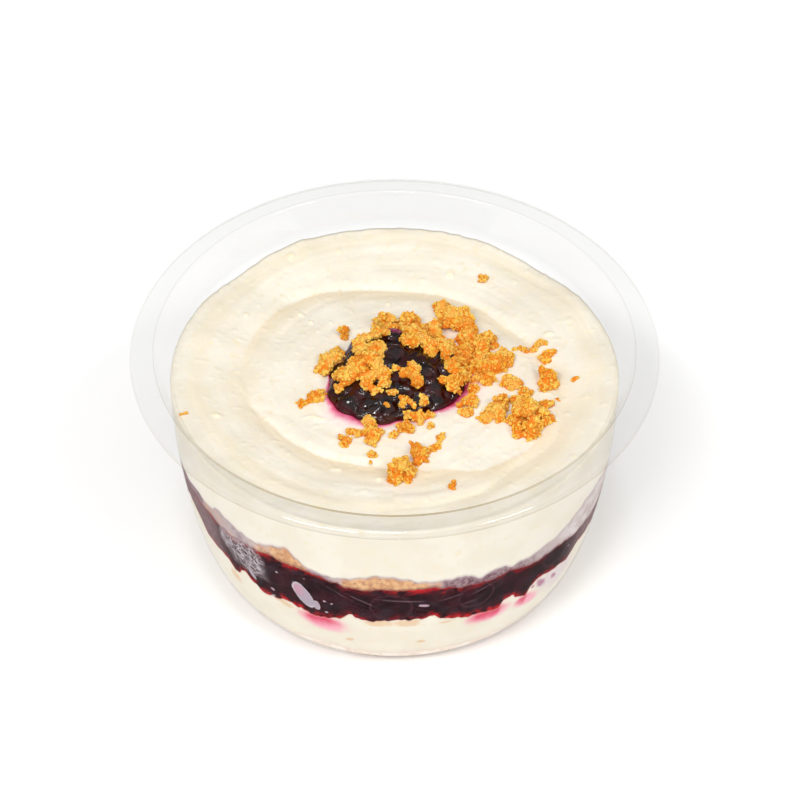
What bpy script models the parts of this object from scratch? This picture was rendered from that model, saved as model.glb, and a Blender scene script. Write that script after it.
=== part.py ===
"""Layered cheesecake in its clear dessert bowl, 118 mm across and 60 mm tall.

From the bottom up: crumb base, cream, fruit compote, crumb layer and swirled cream, with a spoonful of
compote and baked crumbs on top. Metres, +Z up, origin in the middle of the bowl's flat foot. Azimuths
are in degrees, 0 at the front (-Y), growing towards the right (+X).
"""
import math

import bmesh
import bpy
from mathutils import Vector
from mathutils.bvhtree import BVHTree

SEGMENTS = 60                # facets round every turned piece
GAP = 0.0003                 # clearance between pieces that touch
SEAT_GAP = 0.0004            # clearance under a topping, which lies on uneven facets
HEAP_GAP = 0.0009            # the same under the heap, which bends over the rounded compote

# Bowl
RIM_HEIGHT = 0.060
FLANGE_RADIUS = 0.059
LIP_RADIUS = 0.0529          # where the inner wall folds over into the flange
SHOULDER_HEIGHT = 0.053      # small outward step below the rim band
SHOULDER_RADIUS = 0.0503
SHOULDER_STEP = 0.0006
FOOT_RADIUS = 0.038
WALL = 0.0008
SKIRT_DROP = 0.0016          # how far the flange's edge turns down
WALL_ROWS = 7
HEEL_POWER = 1.87            # the two powers of the wall's superellipse
BELLY_POWER = 1.77

# Levels between the layers: mean height, then (azimuth, half width in degrees, rise) of each swell
BASE_TOP = (0.0055, [(-38, 9, -0.0012), (-25, 6, 0.0014), (14, 9, 0.0006), (95, 14, -0.0010),
                     (160, 16, 0.0010), (-120, 14, -0.0008)])
COMPOTE_BOTTOM = (0.0208, [(-66, 11, 0.0052), (-38, 5, -0.0018), (-12, 4, 0.0018), (30, 4, 0.0018),
                           (40, 4, -0.0024), (48, 5, 0.0014), (92, 9, -0.0020), (121, 8, 0.0024),
                           (158, 10, -0.0016), (-172, 7, 0.0018), (-141, 9, -0.0018), (-105, 9, 0.0020)])
COMPOTE_TOP = (0.0322, [(-60, 22, 0.0013), (20, 9, -0.0006), (66, 11, -0.0040), (112, 12, -0.0008),
                        (150, 14, 0.0012), (-140, 16, -0.0010)])
CRUMB_TOP = (0.0352, [(-62, 16, -0.0008), (-28, 5, 0.0042), (-4, 5, 0.0026), (34, 8, -0.0016),
                      (62, 10, 0.0036), (105, 10, -0.0010), (140, 9, 0.0026), (176, 12, -0.0008),
                      (-130, 10, 0.0024)])
LAYER_MINIMUM = 0.0009       # no layer is thinner than this at the wall

# Swirled cream on top
CREAM_EDGE = (0.0512, [(-130, 14, -0.0010), (132, 17, -0.0014), (180, 14, 0.0005), (-154, 4, 0.0006)])
CREAM_INSIDE = 0.0509        # the swirl's inner disc, at its middle
CREAM_INSIDE_SLOPE = -0.016  # it falls towards the back
RIDGE = [(0, 0.0415), (45, 0.0416), (75, 0.0385), (111, 0.0296), (147, 0.0276), (180, 0.0280),
         (215, 0.0325), (245, 0.0355), (300, 0.0345), (340, 0.0340), (360, 0.0415)]
RIDGE_CREST = 0.0007
RIDGE_WIDTH = 0.0035
HOLLOW_DEPTH = 0.0006        # where the spoonful of compote presses into the cream
HOLLOW_RADIUS = 0.019
TOP_RINGS = 10

# Toppings: centre, half width, half depth, height, then (number of lobes, phase, share of the radius)
DOLLOP = ((0.0012, -0.0012), 0.0160, 0.0145, 0.0056, [(2, 180, 0.03), (3, 20, 0.04), (5, 140, 0.03)])
HEAP = ((0.0012, 0.0006), 0.0118, 0.0098, 0.0016, [(2, 40, 0.06), (3, 100, 0.07), (7, 30, 0.05)])
SPILL = ((0.0242, 0.0048), 0.0058, 0.0078, 0.0034, [(2, 30, 0.08), (3, 0, 0.06), (7, 60, 0.05)])
ARM = ((0.0136, 0.0188), 0.0056, 0.0040, 0.0028, [(2, 150, 0.10), (5, 20, 0.08)])
CLUMPS = {
    "crumb_clump_right": ((0.0300, -0.0142), 0.0050, 0.0057, 0.0050, [(3, 10, 0.07), (5, 80, 0.06)]),
    "crumb_clump_front": ((0.0013, -0.0308), 0.0031, 0.0036, 0.0040, [(3, 60, 0.08), (4, 10, 0.06)]),
    "crumb_clump_side": ((0.0338, -0.0008), 0.0020, 0.0034, 0.0034, [(3, 0, 0.08), (5, 40, 0.06)]),
}


def material(name, colour, roughness, alpha=1.0):
    """Plain Principled finish in linear colour."""
    made = bpy.data.materials.new(name)
    made.use_nodes = True
    shader = made.node_tree.nodes["Principled BSDF"]
    shader.inputs["Base Color"].default_value = (*colour, 1.0)
    shader.inputs["Roughness"].default_value = roughness
    shader.inputs["Metallic"].default_value = 0.0
    shader.inputs["Alpha"].default_value = alpha
    return made


def clear_plastic():
    return material("clear_plastic", (0.90, 0.92, 0.92), 0.05, 0.35)


def cream_finish(name):
    return material(name, (0.93, 0.88, 0.72), 0.50)


def compote_finish(name):
    return material(name, (0.050, 0.006, 0.014), 0.15)


def crumb_finish(name):
    return material(name, (0.62, 0.34, 0.12), 0.85)


def add_object(name, form, finish):
    """Turn a bmesh into a named object with its own finish."""
    bmesh.ops.recalc_face_normals(form, faces=form.faces)
    mesh = bpy.data.meshes.new(name)
    form.to_mesh(mesh)
    form.free()
    mesh.materials.append(finish)
    piece = bpy.data.objects.new(name, mesh)
    bpy.context.scene.collection.objects.link(piece)
    return piece


def loft(name, centre, columns, turn, finish):
    """Close a solid round the vertical through centre.

    Each column is one profile of (x, y, z) points from the bottom pole to the top pole. From row turn
    on, the quads are split the other way, so that a layer's top matches the next layer's underside.
    """
    form = bmesh.new()
    bottom = form.verts.new((*centre, columns[0][0][2]))
    top = form.verts.new((*centre, columns[0][-1][2]))
    rows = [[form.verts.new(point) for point in column[1:-1]] for column in columns]
    for here, there in zip(rows, rows[1:] + rows[:1]):
        form.faces.new((bottom, there[0], here[0]))
        form.faces.new((top, here[-1], there[-1]))
        for k in range(len(here) - 1):
            if k < turn:
                form.faces.new((here[k], there[k], there[k + 1]))
                form.faces.new((here[k], there[k + 1], here[k + 1]))
            else:
                form.faces.new((here[k], there[k], here[k + 1]))
                form.faces.new((there[k], there[k + 1], here[k + 1]))
    return add_object(name, form, finish)


def around(azimuth, radius, height, centre=(0.0, 0.0)):
    turned = math.radians(azimuth)
    return (centre[0] + radius * math.sin(turned), centre[1] - radius * math.cos(turned), height)


def azimuths(count=SEGMENTS):
    return [360.0 * j / count for j in range(count)]


def swell(level, azimuth):
    """Mean height plus the smooth swells of a level."""
    height, swells = level
    for place, half_width, rise in swells:
        off = (azimuth - place + 180.0) % 360.0 - 180.0
        height += rise * math.exp(-(off / half_width) ** 2)
    return height


def step(value):
    value = min(max(value, 0.0), 1.0)
    return value * value * (3.0 - 2.0 * value)


def wall_profile(foot_radius, shoulder_radius, floor):
    """Superellipse from the foot's edge, where it leaves level, to the shoulder, where it is upright."""
    points = []
    for k in range(WALL_ROWS + 1):
        rise = (k / WALL_ROWS) ** 1.7
        share = (1.0 - (1.0 - rise) ** HEEL_POWER) ** (1.0 / BELLY_POWER)
        radius = foot_radius + (shoulder_radius - foot_radius) * share
        points.append((radius, floor + (SHOULDER_HEIGHT - floor) * rise))
    return points


INNER_WALL = wall_profile(FOOT_RADIUS - WALL, SHOULDER_RADIUS - WALL, WALL)


def inside_radius(height):
    """Radius of the faceted inner wall at a height below the shoulder."""
    for (low_r, low_z), (high_r, high_z) in zip(INNER_WALL, INNER_WALL[1:]):
        if height <= high_z:
            share = (height - low_z) / (high_z - low_z)
            return low_r + (high_r - low_r) * max(share, 0.0)
    return INNER_WALL[-1][0]


def food_radius(height):
    """The food's edge, clear of the inner wall by the gap both inwards and upwards."""
    return inside_radius(height - GAP) - GAP


def bowl():
    """Thin turned shell: foot, belly, shoulder step, rim band and flange with its edge turned down."""
    band_foot = SHOULDER_RADIUS + SHOULDER_STEP
    under = RIM_HEIGHT - WALL
    outside = wall_profile(FOOT_RADIUS, SHOULDER_RADIUS, 0.0)
    outside += [
        (band_foot, SHOULDER_HEIGHT + WALL / 2),
        (LIP_RADIUS + WALL * 0.9, under),
        (FLANGE_RADIUS - WALL, under),
        (FLANGE_RADIUS - WALL, RIM_HEIGHT - SKIRT_DROP),
        (FLANGE_RADIUS, RIM_HEIGHT - SKIRT_DROP),
        (FLANGE_RADIUS, RIM_HEIGHT - WALL / 2),
        (FLANGE_RADIUS - WALL / 2, RIM_HEIGHT),
        (LIP_RADIUS + WALL / 2, RIM_HEIGHT),
        (LIP_RADIUS, RIM_HEIGHT - WALL / 2),
        (band_foot - WALL, SHOULDER_HEIGHT + WALL),
    ]
    profile = [(0.0, 0.0)] + outside + list(reversed(INNER_WALL)) + [(0.0, WALL)]
    columns = [[around(azimuth, r, z) for r, z in profile] for azimuth in azimuths()]
    return loft("bowl", (0.0, 0.0), columns, len(profile), clear_plastic())


def boundaries(azimuth):
    """Heights at the wall of the levels between the five layers, from the bottom up."""
    heights = [WALL]
    for level in (BASE_TOP, COMPOTE_BOTTOM, COMPOTE_TOP, CRUMB_TOP, CREAM_EDGE):
        heights.append(max(swell(level, azimuth), heights[-1] + LAYER_MINIMUM + GAP))
    return heights


MEAN_LEVELS = [WALL] + [level[0] for level in (BASE_TOP, COMPOTE_BOTTOM, COMPOTE_TOP, CRUMB_TOP)]


def inner_level(index, azimuth, share):
    """Height of a level at a share of the radius: it evens out towards the middle."""
    edge = boundaries(azimuth)[index]
    return MEAN_LEVELS[index] + (edge - MEAN_LEVELS[index]) * share ** 2


def layer(name, index, side_rows, finish, top_at=None, top_shares=(0.55,)):
    """One layer of food between level index and the next, filling the bowl out to its wall."""
    columns = []
    for azimuth in azimuths():
        low = boundaries(azimuth)[index] + GAP
        high = boundaries(azimuth)[index + 1]
        column = [(0.0, 0.0, MEAN_LEVELS[index] + GAP)]
        column.append(around(azimuth, food_radius(low) * 0.55, inner_level(index, azimuth, 0.55) + GAP))
        for k in range(side_rows + 1):
            height = low + (high - low) * k / side_rows
            column.append(around(azimuth, food_radius(height), height))
        for share in top_shares:
            radius = food_radius(high) * share
            height = top_at(azimuth, radius) if top_at else inner_level(index + 1, azimuth, share)
            column.append(around(azimuth, radius, height))
        middle = top_at(0.0, 0.0) if top_at else MEAN_LEVELS[index + 1]
        column.append((0.0, 0.0, middle))
        columns.append(column)
    return loft(name, (0.0, 0.0), columns, side_rows + 1, finish)


def ridge_radius(azimuth):
    """Radius of the swirl's ridge, eased between its stations."""
    azimuth %= 360.0
    for (low, low_r), (high, high_r) in zip(RIDGE, RIDGE[1:]):
        if azimuth <= high:
            return low_r + (high_r - low_r) * step((azimuth - low) / (high - low))
    return RIDGE[-1][1]


def cream_top(azimuth, radius):
    """Height of the swirled cream: an outer band, a ridge, and a disc that is hollowed in the middle."""
    x, y, _ = around(azimuth, radius, 0.0)
    edge = swell(CREAM_EDGE, azimuth)
    off = radius - ridge_radius(azimuth)
    inside = CREAM_INSIDE + CREAM_INSIDE_SLOPE * y
    height = inside + (edge - inside) * step(off / RIDGE_WIDTH + 0.5)
    height += RIDGE_CREST * math.exp(-(off / RIDGE_WIDTH) ** 2)
    away = math.hypot(x - DOLLOP[0][0], y - DOLLOP[0][1])
    return height - HOLLOW_DEPTH * (1.0 - step((away - HOLLOW_RADIUS) / 0.008))


def upper_cream():
    shares = [1.0 - 0.92 * k / (TOP_RINGS - 1) for k in range(1, TOP_RINGS)]
    return layer("upper_cream", 4, 4, cream_finish("upper_cream"), cream_top, shares)


def seat_on(support, clearance):
    """Function that gives the height just above the support's top surface at x, y."""
    form = bmesh.new()
    form.from_mesh(support.data)
    tree = BVHTree.FromBMesh(form)
    form.free()

    def height(x, y):
        return tree.ray_cast(Vector((x, y, 2 * RIM_HEIGHT)), Vector((0, 0, -1)))[0].z + clearance

    return height


def mound(name, spec, seat, facets, rings, fullness, finish):
    """Uneven mound that lies on its seat: the underside follows it, the top is rounded over."""
    centre, half_width, half_depth, height, lobes = spec
    columns = []
    for azimuth in azimuths(facets):
        reach = 1.0
        for count, phase, share in lobes:
            reach += share * math.cos(math.radians(count * azimuth + phase))
        turned = math.radians(azimuth)
        span = reach / math.hypot(math.sin(turned) / half_width, math.cos(turned) / half_depth)
        under = []
        over = []
        for k in range(1, rings + 1):
            out = k / rings
            x, y, _ = around(azimuth, span * out, 0.0, centre)
            foot = seat(x, y)
            crown = height * max(1.0 - out ** fullness, 0.0) ** 0.5
            under.append((x, y, foot))
            over.append((x, y, foot + 0.0004 + crown))
        middle = seat(*centre)
        columns.append([(*centre, middle)] + under + over[::-1] + [(*centre, middle + 0.0004 + height)])
    return loft(name, centre, columns, rings, finish)


def toppings(cream):
    """Spoonful of compote, and the baked crumbs heaped and scattered on it and on the cream."""
    on_cream = seat_on(cream, SEAT_GAP)
    dollop = mound("compote_dollop", DOLLOP, on_cream, 30, 5, 3.0, compote_finish("compote_dollop"))
    on_dollop = seat_on(dollop, HEAP_GAP)
    mound("crumb_heap", HEAP, on_dollop, 24, 5, 3.0, crumb_finish("crumb_heap"))
    mound("crumb_spill", SPILL, on_cream, 18, 3, 2.4, crumb_finish("crumb_spill"))
    mound("crumb_arm", ARM, on_cream, 18, 3, 2.4, crumb_finish("crumb_arm"))
    for name, spec in CLUMPS.items():
        mound(name, spec, on_cream, 14, 3, 3.0, crumb_finish(name))


def build():
    for old in list(bpy.data.objects):
        bpy.data.objects.remove(old, do_unlink=True)
    bowl()
    layer("crumb_base", 0, 3, crumb_finish("crumb_base"))
    layer("lower_cream", 1, 4, cream_finish("lower_cream"))
    layer("compote_layer", 2, 3, compote_finish("compote_layer"))
    layer("crumb_layer", 3, 1, crumb_finish("crumb_layer"))
    toppings(upper_cream())


build()
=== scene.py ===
"""Layered cheesecake in its clear dessert bowl: the looks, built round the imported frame.

Heights and radii are in millimetres until a mesh is made, azimuths in degrees, 0 at the front (-Y) and
growing towards the right (+X). Blender itself works in metres, with +Z up.
"""
import math
import random

import bmesh
import bpy
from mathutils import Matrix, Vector, noise
from mathutils.bvhtree import BVHTree


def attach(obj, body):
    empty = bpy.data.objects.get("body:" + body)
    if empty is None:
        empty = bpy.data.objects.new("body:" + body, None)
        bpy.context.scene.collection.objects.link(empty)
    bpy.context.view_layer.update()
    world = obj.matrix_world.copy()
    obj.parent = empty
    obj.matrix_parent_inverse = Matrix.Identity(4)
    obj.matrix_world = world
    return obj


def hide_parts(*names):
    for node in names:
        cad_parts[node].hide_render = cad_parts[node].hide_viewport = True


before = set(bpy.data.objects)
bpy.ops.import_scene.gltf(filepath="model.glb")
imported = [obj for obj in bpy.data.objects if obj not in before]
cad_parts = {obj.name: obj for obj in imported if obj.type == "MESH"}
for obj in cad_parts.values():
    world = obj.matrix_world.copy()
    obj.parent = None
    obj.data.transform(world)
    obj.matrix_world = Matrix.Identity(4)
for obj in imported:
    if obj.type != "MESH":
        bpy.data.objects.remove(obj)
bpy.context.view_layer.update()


# ---- Studio ------------------------------------------------------------------------------------------
# A white sweep to stand on, two long soft boxes high at the front left and front right, a small one
# overhead and pale surroundings. The camera looks down from the front with a long lens.

MM = 0.001
LOOK_DOWN = math.radians(42.53)
CAMERA_DISTANCE = 900.0
LENS = 182.07
AIM_RIGHT = 1.2              # what the lens points at, seen from the middle of the rim
AIM_BELOW = 12.0
RIM_CENTRE = Vector((0.0, 0.0, 60.0))
BOX_DISTANCE = 6000.0
# Soft boxes: name, azimuth, elevation, width, height, watts
SOFT_BOXES = [("soft_box_left", -34.0, 48.0, 2600.0, 750.0, 128.0),
              ("soft_box_right", 50.0, 46.0, 1900.0, 750.0, 77.0),
              ("soft_box_top", -8.0, 76.0, 900.0, 450.0, 58.0)]


def node_material(name):
    """New material with an empty node tree and its output."""
    made = bpy.data.materials.new(name)
    made.use_nodes = True
    tree = made.node_tree
    tree.nodes.clear()
    return made, tree, tree.nodes.new("ShaderNodeOutputMaterial")


def put(tree, kind, feeds, **settings):
    """New node; feeds gives its inputs, by name or number, a value or another node's socket."""
    node = tree.nodes.new(kind)
    for name, value in settings.items():
        setattr(node, name, value)
    for key, value in feeds.items():
        if isinstance(value, bpy.types.NodeSocket):
            tree.links.new(value, node.inputs[key])
        else:
            node.inputs[key].default_value = value
    return node


def sweep_finish():
    """Matt white board with the faintest mottle, lit a little from below."""
    made, tree, out = node_material("white_sweep")
    place = put(tree, "ShaderNodeTexCoord", {}).outputs["Object"]
    blotches = put(tree, "ShaderNodeTexNoise", {"Vector": place, "Scale": 9.0})
    tones = put(tree, "ShaderNodeValToRGB", {"Fac": blotches.outputs["Fac"]})
    tones.color_ramp.elements[0].color = (0.93, 0.93, 0.93, 1.0)
    tones.color_ramp.elements[1].color = (0.95, 0.95, 0.95, 1.0)
    feeds = {"Base Color": tones.outputs["Color"], "Roughness": 0.9, "Specular IOR Level": 0.1,
             "Emission Color": (1.0, 1.0, 1.0, 1.0), "Emission Strength": 0.03}
    shader = put(tree, "ShaderNodeBsdfPrincipled", feeds)
    tree.links.new(shader.outputs["BSDF"], out.inputs["Surface"])
    return made


def add_floor(half_side):
    """Flat square board under the bowl."""
    corners = [(-half_side, -half_side, 0.0), (half_side, -half_side, 0.0), (half_side, half_side, 0.0),
               (-half_side, half_side, 0.0)]
    mesh = bpy.data.meshes.new("floor")
    mesh.from_pydata([[MM * value for value in corner] for corner in corners], [], [(0, 1, 2, 3)])
    mesh.materials.append(sweep_finish())
    floor = bpy.data.objects.new("floor", mesh)
    bpy.context.scene.collection.objects.link(floor)


def add_soft_box(name, azimuth, elevation, width, height, watts):
    """Rectangular soft box that faces the bowl."""
    turned = math.radians(azimuth)
    raised = math.radians(elevation)
    way = Vector((math.sin(turned) * math.cos(raised), -math.cos(turned) * math.cos(raised),
                  math.sin(raised)))
    lamp = bpy.data.lights.new(name, "AREA")
    lamp.shape = "RECTANGLE"
    lamp.size = width * MM
    lamp.size_y = height * MM
    lamp.energy = watts
    holder = bpy.data.objects.new(name, lamp)
    holder.location = (RIM_CENTRE + way * BOX_DISTANCE) * MM
    holder.rotation_euler = way.to_track_quat("Z", "Y").to_euler()
    bpy.context.scene.collection.objects.link(holder)


def add_surroundings(dark, bright):
    """Pale room: bright above and in front, darker towards the back, where the plastic mirrors it."""
    world = bpy.data.worlds.new("surroundings")
    world.use_nodes = True
    tree = world.node_tree
    background = tree.nodes["Background"]
    background.inputs["Color"].default_value = (1.0, 1.0, 1.0, 1.0)
    way = put(tree, "ShaderNodeTexCoord", {}).outputs["Generated"]
    facing = put(tree, "ShaderNodeVectorMath", {0: way, 1: (0.0, -0.5, 0.866)}, operation="DOT_PRODUCT")
    feeds = {"Value": facing.outputs["Value"], "From Min": 0.2, "From Max": 0.8, "To Min": dark,
             "To Max": bright}
    strength = put(tree, "ShaderNodeMapRange", feeds, interpolation_type="SMOOTHSTEP")
    tree.links.new(strength.outputs["Result"], background.inputs["Strength"])
    bpy.context.scene.world = world


def add_camera():
    """Long lens in front of the bowl, aimed a little below and right of the rim's middle."""
    up = Vector((0.0, math.sin(LOOK_DOWN), math.cos(LOOK_DOWN)))
    back = Vector((0.0, -math.cos(LOOK_DOWN), math.sin(LOOK_DOWN)))
    place = RIM_CENTRE + back * CAMERA_DISTANCE
    target = RIM_CENTRE + Vector((AIM_RIGHT, 0.0, 0.0)) - up * AIM_BELOW
    lens = bpy.data.cameras.new("camera")
    lens.lens = LENS
    lens.sensor_width = 36.0
    lens.clip_start = 0.01
    camera = bpy.data.objects.new("camera", lens)
    camera.location = place * MM
    camera.rotation_euler = (target - place).to_track_quat("-Z", "Y").to_euler()
    bpy.context.scene.collection.objects.link(camera)
    bpy.context.scene.camera = camera


add_floor(3000.0)
for soft_box in SOFT_BOXES:
    add_soft_box(*soft_box)
add_surroundings(0.26, 0.88)
add_camera()
bpy.context.scene.view_settings.view_transform = "Standard"


# ---- Bowl --------------------------------------------------------------------------------------------
# A thin clear plastic dessert bowl, vacuum-formed in one piece: flat foot, rounded belly, a small step
# under the rim band, and a flange whose edge is turned down. It is turned from its wall profile.

RIM_HEIGHT = 60.0
FLANGE_RADIUS = 59.0
LIP_RADIUS = 52.9
SHOULDER_HEIGHT = 53.0
SHOULDER_RADIUS = 50.3
SHOULDER_STEP = 0.6          # how far the rim band stands out over the shoulder
SHOULDER_RISE = 1.2          # height in which it does so
FOOT_RADIUS = 38.0
WALL = 0.8
RIM_WALL = 0.45              # the sheet is drawn thinner above the shoulder
SKIRT_DROP = 1.8             # the flange's edge is turned down this far
FLANGE_BEND = 1.5
LIP_BEND = 0.6
UNDER_BEND = 0.3
LIP_RING = 53.7              # the lip's bend runs out into the flange in a faint ring
FLANGE_RING = 56.4
HEEL_POWER = 1.87            # roundness of the belly's tight heel and of its upper part
BELLY_POWER = 1.77
BOWL_FACETS = 288
# How dark the sheet's bends and cut are painted: a painted shade for the light they bend aside, strongest at
# the front
HEM_FOLD = 0.35
EDGE_FOLD = 0.25
RING_FOLD = 1.6
LIP_FOLD = 0.8
BACK_FOLD_SHADE = 0.4         # share of that painted shade kept at the back and sides, against the front
LIP_FADE = 6.0               # how fast the lip's painted shade fades away from the front
FOLD_FADE = 1.6              # the same for the others
RIM_GLOSS = (52.0, 54.0)     # heights between which the wall takes on the rim's gloss
BACK_PAINTED_SHADE = (50.0, 51.5)     # heights between which the rim's back takes on its painted grey shade


def around(azimuth, radius, height, centre=(0.0, 0.0)):
    """Point at an azimuth, a distance from the centre's vertical and a height."""
    turned = math.radians(azimuth)
    return (centre[0] + radius * math.sin(turned), centre[1] - radius * math.cos(turned), height)


def ramp(value, low, high):
    """0 up to low, 1 from high on, and a straight line between them."""
    return min(max((value - low) / (high - low), 0.0), 1.0)


def ease(share):
    """S-curve from 0 to 1, held at both ends."""
    share = ramp(share, 0.0, 1.0)
    return share * share * (3.0 - 2.0 * share)


def wall_radius(height, inset=0.0):
    """Radius of the belly at a height; inset 0 is the outer face and 1 the inner one."""
    floor = WALL * inset
    rise = ramp(height, floor, SHOULDER_HEIGHT)
    share = (1.0 - (1.0 - rise) ** HEEL_POWER) ** (1.0 / BELLY_POWER)
    return FOOT_RADIUS - WALL * inset + (SHOULDER_RADIUS - FOOT_RADIUS) * share


def belly_profile(inset, rows):
    """Belly from the foot up to the shoulder, with close rows at the tight heel."""
    floor = WALL * inset
    heights = [floor + (SHOULDER_HEIGHT - floor) * (k / rows) ** 2.2 for k in range(rows + 1)]
    return [(wall_radius(height, inset), height) for height in heights]


def arc(centre, radius, start, end, steps):
    """Points on a circle in the profile's plane; 0 degrees points outwards and 90 up."""
    angles = [math.radians(start + (end - start) * k / steps) for k in range(steps + 1)]
    return [(centre[0] + radius * math.cos(a), centre[1] + radius * math.sin(a)) for a in angles]


def ease_between(low, high, steps):
    """S-curve from one profile point up to the next, upright at both ends."""
    shares = [k / steps for k in range(1, steps + 1)]
    return [(low[0] + (high[0] - low[0]) * ease(share), low[1] + (high[1] - low[1]) * share)
            for share in shares]


def folded(points, fold=0.0):
    """Profile points (r, z) with how tightly the sheet is bent or cut there, painted into the sheet as a
    darker shade.
    """
    return [(radius, height, fold) for radius, height in points]


def bowl_profile():
    """Wall section from the middle of the underside round to the middle of the inside: (r, z, fold)."""
    band_foot = SHOULDER_RADIUS + SHOULDER_STEP
    band_base = SHOULDER_HEIGHT + SHOULDER_RISE
    under = RIM_HEIGHT - RIM_WALL
    hem = RIM_WALL / 2
    bend = (FLANGE_RADIUS - FLANGE_BEND, RIM_HEIGHT - FLANGE_BEND)
    outside = belly_profile(0.0, 40)
    outside += ease_between(outside[-1], (band_foot, band_base), 6)
    profile = folded([(12.0, 0.0), (25.0, 0.0), (35.0, 0.0)] + outside)
    under_lip = (LIP_RADIUS + RIM_WALL + UNDER_BEND, under - UNDER_BEND)
    profile += folded(arc(under_lip, UNDER_BEND, 180.0, 90.0, 4) + [(54.6, under), (FLANGE_RING, under)])
    profile += folded(arc(bend, FLANGE_BEND - RIM_WALL, 90.0, 8.0, 8))
    hem_middle = (FLANGE_RADIUS - hem, RIM_HEIGHT - SKIRT_DROP + hem)
    profile += folded(arc(hem_middle, hem, 180.0, 360.0, 8), HEM_FOLD)
    edge = arc(bend, FLANGE_BEND, 8.0, 90.0, 12)
    profile += folded(edge[:4]) + folded(edge[4:5], EDGE_FOLD) + folded(edge[5:])
    profile += folded([(FLANGE_RING, RIM_HEIGHT), (LIP_RING + 0.15, RIM_HEIGHT)])
    profile += folded([(LIP_RING, RIM_HEIGHT)], RING_FOLD)
    lip = arc((LIP_RADIUS + LIP_BEND, RIM_HEIGHT - LIP_BEND), LIP_BEND, 90.0, 170.0, 10)
    profile += folded(lip[:-1], LIP_FOLD) + folded(lip[-1:])
    profile += folded([(LIP_RADIUS - 0.15, RIM_HEIGHT - LIP_BEND - 0.6)])
    inside = belly_profile(1.0, 40)
    inside += ease_between(inside[-1], (band_foot - WALL, band_base), 6)
    return profile + folded(inside[::-1] + [(34.0, WALL), (24.0, WALL), (12.0, WALL)])


def add_piece(name, points, faces, finish, stands_for=()):
    """Make a mesh piece from points in millimetres, with its finish and what the frame has to know."""
    mesh = bpy.data.meshes.new(name)
    mesh.from_pydata([(x * MM, y * MM, z * MM) for x, y, z in points], [], faces)
    mesh.materials.append(finish)
    mesh.validate()
    mesh.shade_smooth()
    piece = bpy.data.objects.new(name, mesh)
    bpy.context.scene.collection.objects.link(piece)
    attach(piece, "root")
    if stands_for:
        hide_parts(*stands_for)
    return piece


def loft_faces(columns, rows):
    """Faces of a closed body of column profiles: point 0 is the bottom pole, point 1 the top pole."""
    faces = []
    for here in range(columns):
        there = (here + 1) % columns
        first = 2 + here * rows
        second = 2 + there * rows
        faces.append((0, second, first))
        faces.append((1, first + rows - 1, second + rows - 1))
        for k in range(rows - 1):
            faces.append((first + k, second + k, second + k + 1, first + k + 1))
    return faces


def turn(profile, facets, low, high):
    """Points and faces of a profile turned round the vertical, closed by poles at two heights."""
    points = [(0.0, 0.0, low), (0.0, 0.0, high)]
    for j in range(facets):
        points += [around(360.0 * j / facets, radius, height) for radius, height, fold in profile]
    return points, loft_faces(facets, len(profile))


def add_marks(piece, painted):
    """Store painted values on the mesh's points, from one dictionary for each point."""
    for name in painted[0]:
        layer = piece.data.attributes.new(name, "FLOAT", "POINT")
        layer.data.foreach_set("value", [float(values[name]) for values in painted])


def mark(tree, name):
    """Value painted on the mesh's points."""
    return put(tree, "ShaderNodeAttribute", {}, attribute_name=name).outputs["Fac"]


def lay(tree, below, above, share):
    """Colour above laid over colour below by a share."""
    return put(tree, "ShaderNodeMix", {0: share, 6: below, 7: above}, data_type="RGBA").outputs[2]


def calculate(tree, operation, *values):
    """Result of a Math node."""
    return put(tree, "ShaderNodeMath", dict(enumerate(values)), operation=operation).outputs[0]


def clear_plastic_finish():
    """Thin clear sheet: light passes straight on, and a little is mirrored, more of it at a glance."""
    made, tree, out = node_material("clear_plastic")
    glance = put(tree, "ShaderNodeLayerWeight", {"Blend": 0.5}).outputs["Facing"]
    steep = calculate(tree, "POWER", glance, 5.0)
    passed = lay(tree, (0.98, 0.98, 0.98, 1.0), (0.93, 0.93, 0.925, 1.0), steep)
    # The back of the rim lets through less light: a painted grey shade
    passed = lay(tree, passed, (0.905, 0.905, 0.90, 1.0), mark(tree, "back"))
    # Bends and cut tinted dark olive: painted shade for the light they turn aside, most at the front
    bent = calculate(tree, "MULTIPLY", mark(tree, "fold"), calculate(tree, "ADD", glance, 0.25))
    passed = lay(tree, passed, (0.50, 0.40, 0.20, 1.0), bent)
    clear = put(tree, "ShaderNodeBsdfTransparent", {"Color": passed})
    gloss = put(tree, "ShaderNodeBsdfGlossy", {"Roughness": 0.03, "Color": (1.0, 1.0, 1.0, 1.0)})
    share = calculate(tree, "MULTIPLY_ADD", mark(tree, "rim"), 0.024, 0.012)
    share = calculate(tree, "MULTIPLY_ADD", calculate(tree, "POWER", glance, 6.0), 0.18, share)
    behind = put(tree, "ShaderNodeNewGeometry", {}).outputs["Backfacing"]
    share = calculate(tree, "MULTIPLY", share, calculate(tree, "MULTIPLY_ADD", behind, -0.6, 1.0))
    mix = put(tree, "ShaderNodeMixShader", {"Fac": share, 1: clear.outputs[0], 2: gloss.outputs[0]})
    tree.links.new(mix.outputs["Shader"], out.inputs["Surface"])
    return made


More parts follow.
